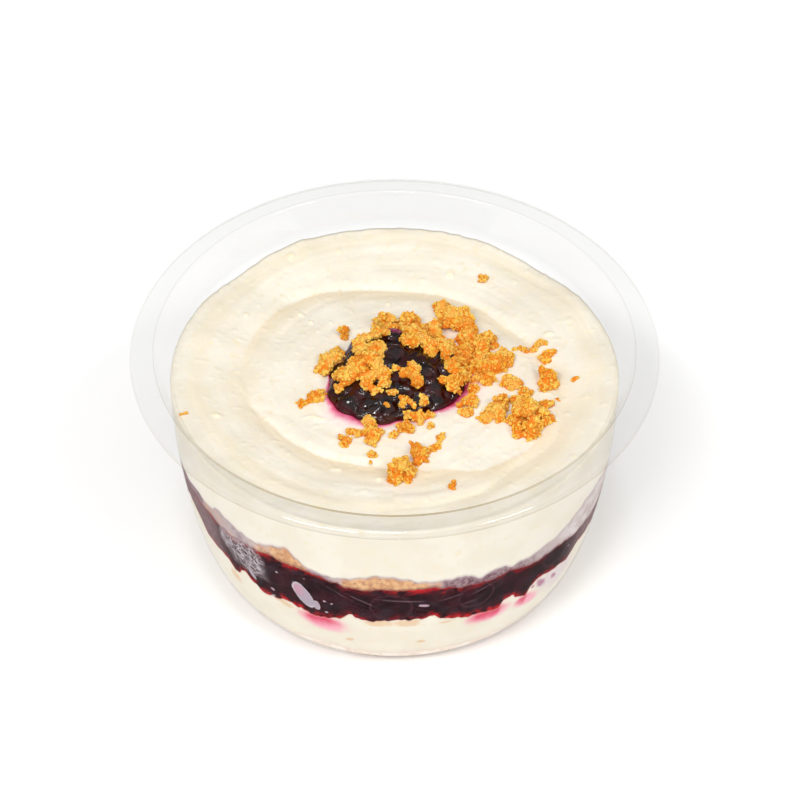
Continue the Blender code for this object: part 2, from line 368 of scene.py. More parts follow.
def add_bowl():
    """Turn the bowl, and mark its folds (painted darker as shade, most at the front), its glossier rim and
    the back of the rim, painted greyer as shade.
    """
    profile = bowl_profile()
    points, faces = turn(profile, BOWL_FACETS, 0.0, WALL)
    piece = add_piece("dessert_bowl", points, faces, clear_plastic_finish(), ("bowl",))
    folds = [0.0, 0.0]
    for j in range(BOWL_FACETS):
        # Painted shade of the folds: full at the front, a smaller share at the back and sides
        front = max(math.cos(2.0 * math.pi * j / BOWL_FACETS), 0.0)
        fold_shade = BACK_FOLD_SHADE + (1.0 - BACK_FOLD_SHADE) * front
        folds += [fold * fold_shade ** (LIP_FADE if fold == LIP_FOLD else FOLD_FADE) for r, z, fold in profile]
    painted = []
    for fold, (x, y, z) in zip(folds, points):
        within_edge = math.hypot(x, y) < FLANGE_RADIUS - FLANGE_BEND / 2
        # Painted grey shade over the flat of the rim towards the back
        back = max(y / FLANGE_RADIUS, 0.0) * ramp(z, *BACK_PAINTED_SHADE) if within_edge else 0.0
        painted.append({"fold": fold, "rim": ramp(z, *RIM_GLOSS), "back": back})
    add_marks(piece, painted)


add_bowl()


# ---- Crumb base --------------------------------------------------------------------------------------
# Pressed layer of buttery baked crumbs in the bottom of the bowl. It fills the foot out to the wall, so
# through the plastic it shows as a pinkish beige band with darker grains.

# Levels of the layer's top and underside at the wall: stations of (azimuth, height), and raggedness in mm
BASE_TOP = ([(-180, 5.6), (-120, 4.7), (-60, 5.2), (-38, 4.3), (-25, 6.4), (-8, 5.0), (14, 5.8), (50, 5.2),
             (95, 4.6), (130, 5.2), (160, 6.2), (180, 5.6)], 0.5)
FLOOR_LEVEL = ([(0, 0.75)], 0.0)
COLUMNS = 720                # profiles round each layer
PRESS = 0.68                 # how far the food reaches into the wall, so that no air shows between them
LEVEL_SHARE = 0.6            # share of the radius out to which a layer is level inside
TUCK = (1.0, 0.3)            # how far in and how far past its neighbour's edge a layer is tucked
THINNEST = 0.3               # thickness that a layer keeps at the wall
WALL_MIDDLE_RADIUS = 47.0
GLOW_DEPTH = 1.2             # how deep light goes into soft food


def srgb(red, green, blue):
    """Linear colour of a display colour given in steps of 255."""
    shares = [value / 255.0 for value in (red, green, blue)]
    linear = [s / 12.92 if s <= 0.04045 else ((s + 0.055) / 1.055) ** 2.4 for s in shares]
    return (*linear, 1.0)


def mottle(tree, size, seed=0.0, detail=3.0):
    """Noise in object space whose blotches are size mm across."""
    place = put(tree, "ShaderNodeTexCoord", {}).outputs["Object"]
    feeds = {"Vector": place, "W": seed, "Scale": 1.0 / MM / size, "Detail": detail}
    return put(tree, "ShaderNodeTexNoise", feeds, noise_dimensions="4D").outputs["Fac"]


def mask(tree, value, low, high, ragged=None, amount=0.0):
    """0 to 1 as a value or a painted mark goes from low to high, made ragged by another value."""
    if isinstance(value, str):
        value = mark(tree, value)
    if ragged is not None:
        off = calculate(tree, "SUBTRACT", ragged, 0.5)
        value = calculate(tree, "MULTIPLY_ADD", off, amount, value)
    feeds = {"Value": value, "From Min": low, "From Max": high}
    return put(tree, "ShaderNodeMapRange", feeds, interpolation_type="SMOOTHSTEP").outputs["Result"]


def times(tree, one, other):
    """Product of two values."""
    return calculate(tree, "MULTIPLY", one, other)


def coats(tree, colour, layers):
    """Colour with others laid over it in turn, each given as (display colour, share, strength)."""
    for shade, share, strength in layers:
        colour = lay(tree, colour, srgb(*shade), times(tree, share, strength))
    return colour


def close_finish(tree, out, colour, roughness, specular, relief=None, depth=0.0, soft=0.0):
    """Principled shader of a food; depth is the relief's height in mm, soft how much light goes in."""
    feeds = {"Base Color": colour, "Roughness": roughness, "Specular IOR Level": specular}
    if soft:
        feeds.update({"Subsurface Weight": soft, "Subsurface Scale": GLOW_DEPTH * MM,
                      "Subsurface Radius": (1.0, 0.75, 0.45)})
    if relief is not None:
        bump = {"Height": relief, "Distance": depth * MM, "Strength": 1.0}
        feeds["Normal"] = put(tree, "ShaderNodeBump", bump).outputs["Normal"]
    shader = put(tree, "ShaderNodeBsdfPrincipled", feeds)
    tree.links.new(shader.outputs["BSDF"], out.inputs["Surface"])


def azimuth_off(azimuth, place):
    """How far an azimuth lies past a place, from -180 to 180."""
    return (azimuth - place + 180.0) % 360.0 - 180.0


def between(stations, place):
    """Smooth curve through stations of (place, value, ...), held at both ends."""
    if place <= stations[0][0]:
        return stations[0][1:]
    if place >= stations[-1][0]:
        return stations[-1][1:]
    k = max(i for i in range(len(stations) - 1) if stations[i][0] <= place)
    share = (place - stations[k][0]) / (stations[k + 1][0] - stations[k][0])
    return [a + (b - a) * ease(share) for a, b in zip(stations[k][1:], stations[k + 1][1:])]


def round_noise(azimuth, turns, pattern):
    """Noise round a circle, finer with more turns."""
    turned = math.radians(azimuth)
    return noise.noise(Vector((turns * math.sin(turned), turns * math.cos(turned), pattern)))


def level(spec, azimuth):
    """Height at the wall: the curve through its stations, and raggedness in waves of three lengths."""
    stations, ragged = spec
    waves = ((4.5, 0.7), (1.9, 0.8), (0.9, 0.6))
    off = sum(share * round_noise(azimuth, WALL_MIDDLE_RADIUS / length, len(stations))
              for length, share in waves)
    return between(stations, azimuth_off(azimuth, 0.0))[0] + ragged * off


def mean_level(spec):
    """Mean of a level's stations, at which the layer runs on through the food."""
    return sum(height for place, height in spec[0]) / len(spec[0])


def food_radius(height):
    """Radius of the food at a height, a little inside the bowl's wall."""
    return wall_radius(height, 1.0) + PRESS


def add_layer(name, bottom, top, rows, finish, paint):
    """Food filling the bowl between two levels; paint gives its marks at (azimuth, height, low, high)."""
    floor = mean_level(bottom)
    lid = mean_level(top)
    tuck_in, tuck_past = TUCK
    points = [(0.0, 0.0, floor), (0.0, 0.0, lid)]
    painted = [paint(0.0, floor, floor, lid)] * 2
    for j in range(COLUMNS):
        azimuth = 360.0 * j / COLUMNS
        low = level(bottom, azimuth)
        high = max(level(top, azimuth), low + THINNEST)
        column = [(food_radius(low) * LEVEL_SHARE, floor), (food_radius(low) - tuck_in, low - tuck_past)]
        heights = [low + (high - low) * k / rows for k in range(rows + 1)]
        column += [(food_radius(height), height) for height in heights]
        column += [(food_radius(high) - tuck_in, high + tuck_past), (food_radius(high) * LEVEL_SHARE, lid)]
        points += [around(azimuth, r, z) for r, z in column]
        painted += [paint(azimuth, min(max(z, low), high), low, high) for r, z in column]
    piece = add_piece(name, points, loft_faces(COLUMNS, rows + 5), finish, (name,))
    add_marks(piece, painted)


def paint_crumb_base(azimuth, height, low, high):
    """Mark of the crumb base: how near a point is to the foot."""
    return {"foot": max(0.0, 1.0 - height / 4.0)}


def crumb_base_finish():
    """Pinkish beige with darker grains, and a painted shade that darkens it a little at its foot."""
    made, tree, out = node_material("crumb_base")
    grain = mottle(tree, 1.1, 2.0)
    colour = coats(tree, srgb(240, 225, 211), [
        ((222, 196, 174), mask(tree, grain, 0.50, 0.68), 1.0),
        ((244, 236, 226), mask(tree, mottle(tree, 4.2, 5.0), 0.46, 0.62), 1.0),
        # Painted shade, darker towards the foot
        ((220, 194, 184), mask(tree, "foot", 0.3, 1.0), 0.4)])
    close_finish(tree, out, colour, 0.7, 0.1, grain, 0.15)
    return made


add_layer("crumb_base", FLOOR_LEVEL, BASE_TOP, 10, crumb_base_finish(), paint_crumb_base)


# ---- Lower cream -------------------------------------------------------------------------------------
# Soft cream cheese filling, spooned in under the compote. Against the wall it carries pink stains where
# compote juice has run into it, and a few tan crumbs that sank in.

COMPOTE_BOTTOM = ([(-180, 22.0), (-172, 22.6), (-155, 20.0), (-141, 19.2), (-125, 21.8), (-105, 22.8),
                   (-88, 23.5), (-78, 27.5), (-70, 28.6), (-66, 27.6), (-60, 23.6), (-52.5, 22.9),
                   (-49, 20.6), (-44.3, 22.8), (-41, 20.6), (-38.5, 19.2), (-34, 19.6), (-31, 21.0),
                   (-26.8, 19.8), (-23.6, 18.6), (-18.3, 18.6), (-15, 20.2), (-11.5, 22.6), (-10.7, 20.8),
                   (-7.6, 20.1), (-1, 21.3), (6, 20.8), (10.6, 21.9), (12.5, 20.3), (16, 19.3),
                   (20.6, 18.8), (24.4, 18.5), (29.8, 18.4), (31, 20.4), (33.6, 20.9), (35, 19.5),
                   (38.8, 18.0), (40, 20.4), (42.3, 22.0), (46, 21.3), (49.5, 20.6), (55, 20.1),
                   (60, 22.2), (75, 21.0), (92, 19.4), (108, 21.4), (121, 23.0), (135, 21.6), (158, 19.4),
                   (170, 21.0), (180, 22.0)], 0.8)
# Patches at the wall: azimuth, height, half length, half height, tilt
STAINS = [(-20.5, 16.8, 5.4, 3.0, -6), (26.6, 17.0, 5.2, 2.6, 0), (39.6, 15.6, 3.6, 2.2, -20),
          (132, 18.6, 6.0, 2.4, 0), (-150, 17.6, 5.0, 2.2, 10)]
HAZE = [(51, 17.6, 9.0, 5.6, -30)]
PURPLE_SPOTS = [(44.3, 19.0, 2.6, 1.3, -50), (50.0, 17.6, 1.8, 0.8, -50), (41.0, 19.6, 0.9, 0.6, -40)]
SUNK_CRUMBS = [(3.4, 19.8, 3.4, 1.5, 0), (-4.5, 19.6, 3.4, 1.2, 4), (-32, 19.2, 2.4, 1.1, -10),
               (-13, 11.2, 1.2, 0.6, 12), (7.6, 11.4, 1.2, 0.6, 0), (14, 18.6, 1.6, 0.5, 0),
               (-50, 17.5, 1.8, 2.0, 30), (96, 15.0, 2.6, 1.0, 0), (150, 12.0, 2.2, 1.2, 20),
               (-110, 17.0, 2.8, 1.0, 0), (175, 19.5, 3.0, 1.0, 0)]
MM_EACH_DEGREE = 0.82        # round the wall, at the compote's height


def on_axes(along, up, half_length, half_height, tilt):
    """Place on the two axes of a tilted ellipse, in its half axes."""
    turned = math.radians(tilt)
    return ((along * math.cos(turned) + up * math.sin(turned)) / half_length,
            (up * math.cos(turned) - along * math.sin(turned)) / half_height)


def nearest(azimuth, height, patches):
    """1 in the middle of the nearest patch, 0 on its outline and below 0 outside."""
    return max(1.0 - math.hypot(*on_axes(azimuth_off(azimuth, place) * MM_EACH_DEGREE, height - middle,
                                         half_length, half_height, tilt))
               for place, middle, half_length, half_height, tilt in patches)


def cream_colour(tree):
    """Ivory with a faint warm and cool mottle."""
    return coats(tree, srgb(230, 222, 204), [
        ((234, 227, 212), mask(tree, mottle(tree, 9.0, 1.0), 0.4, 0.6), 1.0),
        ((231, 221, 197), mask(tree, mottle(tree, 2.2, 4.0), 0.56, 0.72), 1.0)])


def lower_cream_finish():
    """Ivory, with a lavender haze, sunk crumbs, pink stains, purple spots and tinted seams."""
    made, tree, out = node_material("lower_cream")
    rough = mottle(tree, 1.6, 7.0, 4.0)
    soft = mottle(tree, 3.4, 12.0, 2.0)
    core = times(tree, mask(tree, "stain", -0.25, 0.5, rough, 0.5),
                 mask(tree, "seam", 5.0, 0.8, soft, 2.2))
    colour = coats(tree, cream_colour(tree), [
        ((212, 196, 204), mask(tree, "veil", 0.2, 1.0, soft, 0.8), 0.65),
        ((222, 186, 142), mask(tree, "sunk", -0.3, 0.5, rough, 1.5), 0.75),
        ((240, 150, 178), mask(tree, "stain", -0.45, 0.5, soft, 0.7), 0.8),
        ((214, 40, 88), core, 0.9),
        ((168, 92, 126), mask(tree, "purple", -0.25, 0.6, rough, 1.0), 0.85),
        ((206, 146, 132), mask(tree, "seam", 0.8, 0.0, rough, 1.0), 0.45),
        ((226, 207, 190), mask(tree, "foot", 2.4, 0.0, soft, 3.0), 0.6)])
    close_finish(tree, out, colour, 0.5, 0.1, soft=0.2)
    return made


def paint_lower_cream(azimuth, height, low, high):
    """Marks of the cream at a point of the wall."""
    return {"stain": nearest(azimuth, height, STAINS), "sunk": nearest(azimuth, height, SUNK_CRUMBS),
            "purple": nearest(azimuth, height, PURPLE_SPOTS), "seam": high - height,
            "foot": height - low, "veil": nearest(azimuth, height, HAZE) + 0.4}


add_layer("lower_cream", BASE_TOP, COMPOTE_BOTTOM, 40, lower_cream_finish(), paint_lower_cream)


# ---- Compote layer -----------------------------------------------------------------------------------
# Dark berry compote, cooked until the juice sets. Where it lies thin at its edges it glows red; air
# caught against the plastic makes pale lavender pockets, bubbles and a web of greyish threads.

COMPOTE_TOP = ([(-180, 32.6), (-165, 33.0), (-150, 31.4), (-135, 32.0), (-120, 33.2), (-100, 32.4),
                (-85, 33.6), (-67, 34.4), (-56, 34.5), (-51, 33.9), (-48.5, 33.1), (-44, 33.7),
                (-38.5, 34.6), (-34, 35.0), (-27, 34.9), (-23, 34.6), (-19.4, 34.0), (-15.6, 32.9),
                (-12, 31.9), (-8, 31.9), (-4.7, 32.3), (2.4, 32.4), (9.7, 32.6), (13.4, 31.7), (17.2, 31.0),
                (21, 30.7), (26.7, 30.5), (31.6, 31.2), (34.4, 30.3), (38.3, 29.3), (45.8, 29.6),
                (55.4, 28.0), (66, 27.0), (82, 29.0), (100, 31.4), (125, 33.2), (150, 31.2), (172, 33.0),
                (180, 32.6)], 0.5)
# Air pockets, berries (azimuth, height, radius) and folds of the skin
POCKETS = [(-24.9, 25.5, 4.3, 1.9, -66), (-21.3, 23.0, 1.7, 0.75, -85), (-34.7, 22.7, 0.7, 0.4, -30),
           (-34.9, 20.2, 0.5, 0.35, 0), (-32.4, 30.2, 0.35, 0.3, 0), (-24.2, 31.8, 0.3, 0.3, 0),
           (-18.9, 25.3, 0.4, 0.35, 0), (-16.9, 24.9, 0.35, 0.3, 0), (-18.6, 21.2, 0.5, 0.35, 0),
           (54, 25.4, 0.35, 0.3, 0), (7.8, 26.3, 1.3, 0.4, -10), (-41.5, 24.0, 1.5, 0.6, -60),
           (118, 27.0, 4.0, 1.4, 30), (-160, 25.0, 1.6, 0.8, 0), (-118, 29.0, 1.0, 0.6, 20),
           (160, 29.5, 0.6, 0.5, 0)]
BERRIES = [(-52, 27.5, 3.4), (-40, 29.0, 3.2), (-47, 31.5, 2.6), (-34, 28.0, 2.8), (-1, 26.0, 4.5),
           (22, 26.5, 4.0), (48, 27.5, 4.0), (90, 27.0, 4.2), (135, 26.0, 3.8), (170, 27.5, 4.2),
           (-145, 26.5, 4.0), (-110, 27.0, 4.4), (-80, 28.0, 4.0)]
FOLDS = [(-15, 29.6, 7.0, 0.22, -34), (-8, 27.6, 6.4, 0.30, -30), (2, 28.4, 8.0, 0.34, -6),
         (15, 28.0, 5.0, 0.22, 14), (24, 28.4, 5.0, 0.22, 20), (20, 24.6, 3.4, 0.2, 10),
         (105, 28.0, 6.0, 0.3, 10), (-135, 28.5, 6.0, 0.3, -8)]
# How much light comes through the thin edge: azimuth, share at the top edge, share at the bottom edge
GLOW = [(-180, 0.4, 0.4), (-70, 0.1, 0.2), (-55, 0.2, 0.4), (-44, 0.4, 0.7), (-34, 0.6, 0.9),
        (-22, 0.6, 0.9), (-14, 0.2, 0.5), (-4, 0.2, 0.3), (0, 0.5, 0.3), (6, 0.9, 0.3), (12, 0.7, 0.8),
        (18, 0.3, 1.0), (28, 0.15, 0.9), (34, 0.25, 0.7), (42, 0.1, 0.4), (60, 0.0, 0.2), (110, 0.5, 0.5),
        (180, 0.4, 0.4)]
# Pale veil on each side, a painted reflection where the wall is seen at a glance: azimuth where it
# starts, degrees in which it comes, azimuth where it ends, and degrees in which it goes
REFLECTION_VEILS = [(-92.0, 16.0, -46.0, 14.0), (48.0, 18.0, 92.0, 16.0)]
WEB = [(-44.5, 30.8, 9.0, 6.2, -38)]
WEB_MIDDLE = -44.0
WEB_LEAN = -40.0             # the threads run down to the right


def paint_compote(azimuth, height, low, high):
    """Marks of the compote at a point of the wall."""
    off = azimuth_off(azimuth, 0.0)
    upper, lower = between(GLOW, off)
    near_top = ease((high - height) / (high - low) * -4.0 + 2.5)
    lean = math.radians(WEB_LEAN)
    along = azimuth_off(azimuth, WEB_MIDDLE) * MM_EACH_DEGREE
    return {"rim": min(height - low, high - height),
            "berry": max(1.0 - math.hypot(azimuth_off(azimuth, place) * MM_EACH_DEGREE, height - middle) / r
                         for place, middle, r in BERRIES),
            "glow": lower + (upper - lower) * near_top,
            "veil": max(ease((off - start) / coming) * ease((end - off) / going)
                        for start, coming, end, going in REFLECTION_VEILS),
            "pocket": nearest(azimuth, height, POCKETS), "fold": nearest(azimuth, height, FOLDS),
            "web": nearest(azimuth, height, WEB),
            "along": along * math.cos(lean) + height * math.sin(lean),
            "across": height * math.cos(lean) - along * math.sin(lean)}


def threads(tree, length, width, seed):
    """Thin bright outlines of uneven bubbles, drawn out along the threads' lean."""
    run = calculate(tree, "MULTIPLY_ADD", mark(tree, "along"), 1.0 / length, mottle(tree, 1.6, seed))
    step = calculate(tree, "MULTIPLY_ADD", mark(tree, "across"), 1.0 / width,
                     times(tree, mottle(tree, 2.0, seed + 9.0), 2.0))
    place = put(tree, "ShaderNodeCombineXYZ", {0: run, 1: step, 2: seed}).outputs[0]
    cells = put(tree, "ShaderNodeTexVoronoi", {"Vector": place, "Scale": 1.0}, feature="DISTANCE_TO_EDGE")
    return mask(tree, cells.outputs["Distance"], 0.10, 0.02)


def compote_wall_finish():
    """Dark set juice: berries' outlines, painted reflection haze, red thin edges, folds, threads, pale air
    pockets.
    """
    made, tree, out = node_material("compote_layer")
    coarse = mottle(tree, 5.0, 3.0)
    fine = mottle(tree, 0.9, 6.0, 4.0)
    outline = mask(tree, calculate(tree, "ABSOLUTE", mark(tree, "berry")), 0.10, 0.01, coarse, 0.12)
    uneven = mask(tree, mottle(tree, 1.4, 14.0, 3.0), 0.34, 0.62)
    patchy = calculate(tree, "MULTIPLY_ADD", uneven, 0.22, 0.62)
    lit = times(tree, mark(tree, "glow"), mask(tree, mottle(tree, 2.4, 12.0, 3.0), 0.40, 0.56))
    lit_edge = calculate(tree, "ADD", mark(tree, "glow"), 0.2)
    reach = mask(tree, "web", -0.05, 0.45, coarse, 0.9)
    web = calculate(tree, "MAXIMUM", threads(tree, 3.0, 1.0, 3.0), threads(tree, 1.3, 0.6, 8.0))
    colour = coats(tree, srgb(30, 5, 13), [
        ((50, 12, 22), mask(tree, coarse, 0.42, 0.6), 1.0),
        ((46, 28, 36), mask(tree, mottle(tree, 4.0, 31.0, 2.0), 0.50, 0.66), 1.0),
        ((96, 56, 66), outline, 0.30),
        # Pale veil at the sides: a painted reflection of the surroundings
        ((142, 114, 117), mask(tree, "veil", 0.0, 1.0, coarse, 0.5), patchy),
        ((140, 18, 30), mask(tree, "rim", 2.8, 0.3, fine, 3.6), lit),
        ((206, 30, 38), times(tree, mask(tree, "rim", 1.5, 0.2, fine, 3.2), lit), 0.8),
        ((158, 62, 46), times(tree, mask(tree, "rim", 0.42, 0.10, fine, 0.4), lit_edge), 0.75),
        ((118, 88, 98), mask(tree, "fold", 0.0, 0.5, fine, 0.6), 0.62),
        ((92, 62, 72), reach, 0.35),
        ((206, 196, 200), times(tree, web, reach), 0.85)])
    inner = lay(tree, srgb(176, 162, 176), srgb(196, 152, 168), mask(tree, mottle(tree, 3.0, 8.0), 0.45, 0.6))
    inner = lay(tree, srgb(208, 198, 204), inner, mask(tree, "pocket", 0.02, 0.18))
    pocket = mask(tree, "pocket", -0.08, 0.08, fine, 0.35)
    colour = lay(tree, colour, inner, times(tree, pocket, 0.95))
    close_finish(tree, out, colour, 0.35, 0.0)
    return made


add_layer("compote_layer", COMPOTE_BOTTOM, COMPOTE_TOP, 30, compote_wall_finish(), paint_compote)


# ---- Crumb layer -------------------------------------------------------------------------------------
# A sprinkling of baked crumbs between the compote and the cream on top. It is tan where it is dry, purple
# grey where juice has soaked in, and a pale lavender foam where cream and air lie thin against the wall.

CRUMB_TOP = ([(-180, 34.4), (-160, 35.0), (-145, 36.2), (-130, 37.4), (-115, 36.0), (-95, 35.2),
              (-80, 35.6), (-70, 36.4), (-62, 37.6), (-56.9, 37.0), (-51.5, 39.2), (-47.6, 38.2),
              (-43.5, 37.4), (-38.2, 36.9), (-35.4, 37.9), (-31.8, 39.2), (-28.6, 40.4), (-25.7, 37.6),
              (-23.1, 35.8), (-19.3, 35.1), (-15.6, 34.6), (-11.8, 35.3), (-8.2, 36.2), (-4.6, 37.1),
              (-1, 36.9), (2.4, 35.9), (6, 34.9), (9.6, 34.4), (17, 34.5), (19.3, 34.3), (22.5, 32.5),
              (26.4, 33.7), (30.1, 33.5), (32, 32.2), (34.5, 32.7), (40, 32.9), (45, 33.6), (50.5, 34.3),
              (54.9, 36.2), (59.6, 37.2), (66, 37.0), (80, 35.0), (105, 34.2), (125, 35.8), (140, 37.4),
              (158, 35.4), (180, 34.4)], 0.55)
# Look of the layer: azimuth, how grey, how dark
LOOKS = [(-180, 0.2, 0.3), (-140, 0.7, 0.3), (-120, 0.2, 0.3), (-76, 0.8, 0.6), (-66, 0.8, 0.8),
         (-58, 0.6, 0.5), (-50, 0.7, 0.45), (-42, 0.8, 0.45), (-37, 0.4, 0.3), (-27, 0.0, 0.1),
         (-24, 0.4, 0.3), (-20, 0.9, 0.6), (-15, 0.6, 0.4), (-12, 0.1, 0.1), (6, 0.15, 0.1),
         (11, 0.5, 0.4), (14, 0.9, 0.8), (20, 1.0, 1.0), (30, 1.0, 0.8), (35, 1.0, 0.6), (43, 1.0, 0.4),
         (60, 1.0, 0.0), (74, 0.7, 0.2), (100, 0.2, 0.2), (130, 0.3, 0.3), (155, 0.8, 0.4),
         (180, 0.2, 0.3)]


def paint_crumb_layer(azimuth, height, low, high):
    """Marks of the crumb layer at a point of the wall."""
    grey, dark = between(LOOKS, azimuth_off(azimuth, 0.0))
    return {"grey": grey, "dark": dark, "seam": height - low, "lid": high - height}


def crumb_layer_finish():
    """Tan grains, or a light or dark purple grey, with a pale upper edge and a stained lower one."""
    made, tree, out = node_material("crumb_layer")
    fine = mottle(tree, 0.8, 6.5, 4.0)
    grains = mottle(tree, 1.5, 16.0, 3.0)
    coarse = mottle(tree, 3.0, 2.5)
    tan = coats(tree, srgb(200, 146, 104), [
        ((218, 172, 126), mask(tree, grains, 0.42, 0.58), 1.0),
        ((232, 196, 152), mask(tree, fine, 0.56, 0.68), 0.6),
        ((146, 104, 100), mask(tree, fine, 0.44, 0.34), 0.8)])
    light = coats(tree, srgb(196, 178, 176), [
        ((218, 208, 205), mask(tree, coarse, 0.4, 0.62), 1.0),
        ((152, 126, 130), mask(tree, fine, 0.54, 0.70), 0.45)])
    dark = coats(tree, srgb(118, 86, 96), [
        ((156, 130, 134), mask(tree, fine, 0.40, 0.60), 1.0),
        ((74, 34, 46), mask(tree, grains, 0.54, 0.64), 0.7)])
    grey = lay(tree, light, dark, mask(tree, "dark", 0.2, 0.8, coarse, 0.8))
    colour = lay(tree, tan, grey, mask(tree, "grey", 0.25, 0.75, coarse, 0.9))
    colour = coats(tree, colour, [
        ((184, 164, 168), mask(tree, "lid", 0.9, 0.1, fine, 1.0), 0.55),
        ((116, 42, 54), mask(tree, "seam", 1.1, 0.0, fine, 1.6), 0.7)])
    close_finish(tree, out, colour, 0.6, 0.1)
    return made


add_layer("crumb_layer", COMPOTE_TOP, CRUMB_TOP, 12, crumb_layer_finish(),
          paint_crumb_layer)


# ---- Upper cream -------------------------------------------------------------------------------------
# The thick top layer of cream, swirled with a spatula: it dips into a furrow that runs round between the
# middle and the wall, with fine tool streaks and small curds. Juice stains it pink by the compote.

CREAM_EDGE = ([(-180, 51.3), (-160, 51.5), (-154, 51.9), (-148, 51.3), (-133, 49.9), (-118, 51.1),
               (-100, 51.3), (-50, 51.4), (0, 51.6), (50, 51.4), (96, 51.3), (110, 50.7), (118, 50.7),
               (138, 49.3), (158, 50.9), (170, 51.3), (180, 51.3)], 0.25)
CREAM_MIDDLE = 50.9
CREAM_FALL = 0.010           # the cream falls this much each mm towards the back
FLAT_RADIUS = 11.0           # the flat middle, under the compote
PRESSED_IN = 0.7             # how far the compote presses the cream down
CREAM_ROWS = 22              # rows of points up the wall
RINGS = 104                  # and rings of them over the top
WALL_SEAM = 8.0              # at the wall, the distance from the layer's lower edge counts up to this
TOP_SEAM = 9.0               # and this stands for it on the top
WINDING = 0.022              # how far the spatula's streaks wind outwards, mm each degree
# Streaks: how often they change round the bowl, width, pattern, height
STREAKS = [(1.7, 2.1, 0.0, 0.19), (3.1, 0.8, 40.0, 0.08)]
# Bottom of the dip between the middle and the wall: azimuth, radius, depth
DIP = [(-180, 31.0, 1.5), (-162, 32.6, 1.4), (-145, 35.0, 1.1), (-125, 35.6, 0.9), (-105, 35.0, 0.8),
       (-81, 33.2, 0.9), (-56, 30.6, 1.0), (-42, 29.8, 1.1), (-21, 28.2, 1.2), (0, 28.4, 1.1),
       (18, 31.0, 0.9), (35, 35.5, 0.8), (56, 37.5, 0.8), (78, 37.2, 0.8), (90, 35.8, 0.9),
       (104, 33.6, 1.0), (128, 31.2, 1.3), (154, 31.7, 1.5), (172, 31.0, 1.5), (180, 31.0, 1.5)]
# Tool furrows in it: azimuth, radius, depth, width of the outer slope, width of the inner slope
BACK_ARM = [(-22, 44.5, 0.0, 4, 3), (9, 42.3, 0.35, 5, 2.5), (25, 41.5, 0.55, 5, 2.5),
            (42, 39.2, 0.6, 5, 3), (59, 40.5, 0.5, 5, 3), (77, 39.0, 0.5, 4, 4), (90, 35.8, 0.5, 4, 5),
            (104, 33.6, 0.6, 3, 6), (128, 31.2, 0.8, 2.5, 7), (154, 31.7, 0.9, 2.0, 7),
            (172, 31.2, 0.9, 2.0, 7), (189, 31.8, 0.8, 2.2, 7), (208, 34.2, 0.7, 2.6, 7),
            (224, 36.0, 0.5, 3, 6), (243, 35.3, 0.4, 3, 5), (267, 34.0, 0.4, 4, 4),
            (284, 31.7, 0.3, 4, 4), (303, 25.5, 0.0, 3, 3)]
FRONT_ARM = [(266, 38.0, 0.0, 4, 2), (281, 33.8, 0.30, 5, 2), (290, 31.8, 0.5, 6, 2),
             (304, 30.4, 0.65, 6, 2), (318, 29.8, 0.75, 6.5, 1.8), (329, 28.9, 0.85, 7, 1.6),
             (340, 28.0, 0.9, 7, 1.5), (350, 27.7, 0.85, 7, 1.5), (365, 28.3, 0.5, 6, 2),
             (382, 29.4, 0.0, 5, 3)]
# Curds: x, y, half length, half width, turn, height
CURDS = [(-39.6, -12.6, 1.3, 0.8, -25, 0.40), (12.8, 35.6, 1.1, 1.5, 0, 0.40),
         (-21.1, 21.6, 0.8, 1.1, 30, 0.40), (-19.1, 18.8, 0.8, 0.7, 0, 0.35),
         (35.0, 14.8, 1.2, 0.8, 0, 0.40), (-3.2, -32.4, 1.2, 0.45, 0, 0.35),
         (-12.8, -29.0, 1.6, 0.45, -8, 0.35), (-9.0, -28.8, 1.2, 0.4, 4, 0.3),
         (-34.0, 21.0, 0.9, 0.8, 0, 0.3), (-24.0, 40.5, 0.9, 1.4, -30, 0.3),
         (6.6, 33.4, 0.9, 0.7, 0, 0.3), (-6.6, -36.9, 1.3, 0.4, 0, 0.3), (-1.4, 25.0, 0.8, 0.8, 0, 0.3),
         (2.6, 31.4, 0.8, 0.6, 0, 0.3), (-17.0, -13.4, 2.4, 0.7, -30, 0.35)]
DOLLOP_MIDDLE = (1.0, -1.2)
DOLLOP_REACH = [(-180, 15.5), (-140, 15.8), (-117, 14.8), (-94, 15.6), (-71, 16.6), (-58, 16.5), (-41, 15.5),
                (-19, 14.9), (1, 12.7), (31, 12.5), (60, 14.0), (78, 14.6), (102, 15.2), (148, 15.5),
                (180, 15.5)]
# How far the juice has spread: azimuth from the dollop's middle, mm
JUICE_REACH = [(-180, 0.2), (-95, 0.25), (-72, 0.9), (-45, 2.2), (-25, 1.7), (0, 0.8), (30, 0.9), (50, 1.3),
               (75, 2.2), (100, 2.4), (135, 0.9), (180, 0.2)]


def furrow(arm, azimuth, radius):
    """Depth of a tool furrow, sharp along its bottom and rounded over at its shoulders."""
    depth = 0.0
    for turn_on in (azimuth - 360.0, azimuth, azimuth + 360.0):
        if arm[0][0] < turn_on < arm[-1][0]:
            middle, deep, outer, inner = between(arm, turn_on)
            off = radius - middle
            share = min(abs(off) / (outer if off > 0 else inner), 1.0)
            depth += deep * (1.0 - share) ** 2
    return depth


def curd(x, y):
    """Height of the small lumps."""
    height = 0.0
    for px, py, half_length, half_width, turned, rise in CURDS:
        if abs(x - px) + abs(y - py) < 2.5 * half_length:
            u, v = on_axes(x - px, y - py, half_length, half_width, turned)
            ragged = 0.7 * noise.noise(Vector((x, y, px)) / 0.8)
            height += rise * max(1.0 - u * u - v * v + ragged, 0.0) ** 0.8
    return height


def dollop_side(x, y):
    """Azimuth and distance from the middle of the spoonful of compote."""
    dx = x - DOLLOP_MIDDLE[0]
    dy = y - DOLLOP_MIDDLE[1]
    return math.degrees(math.atan2(dx, -dy)), math.hypot(dx, dy)


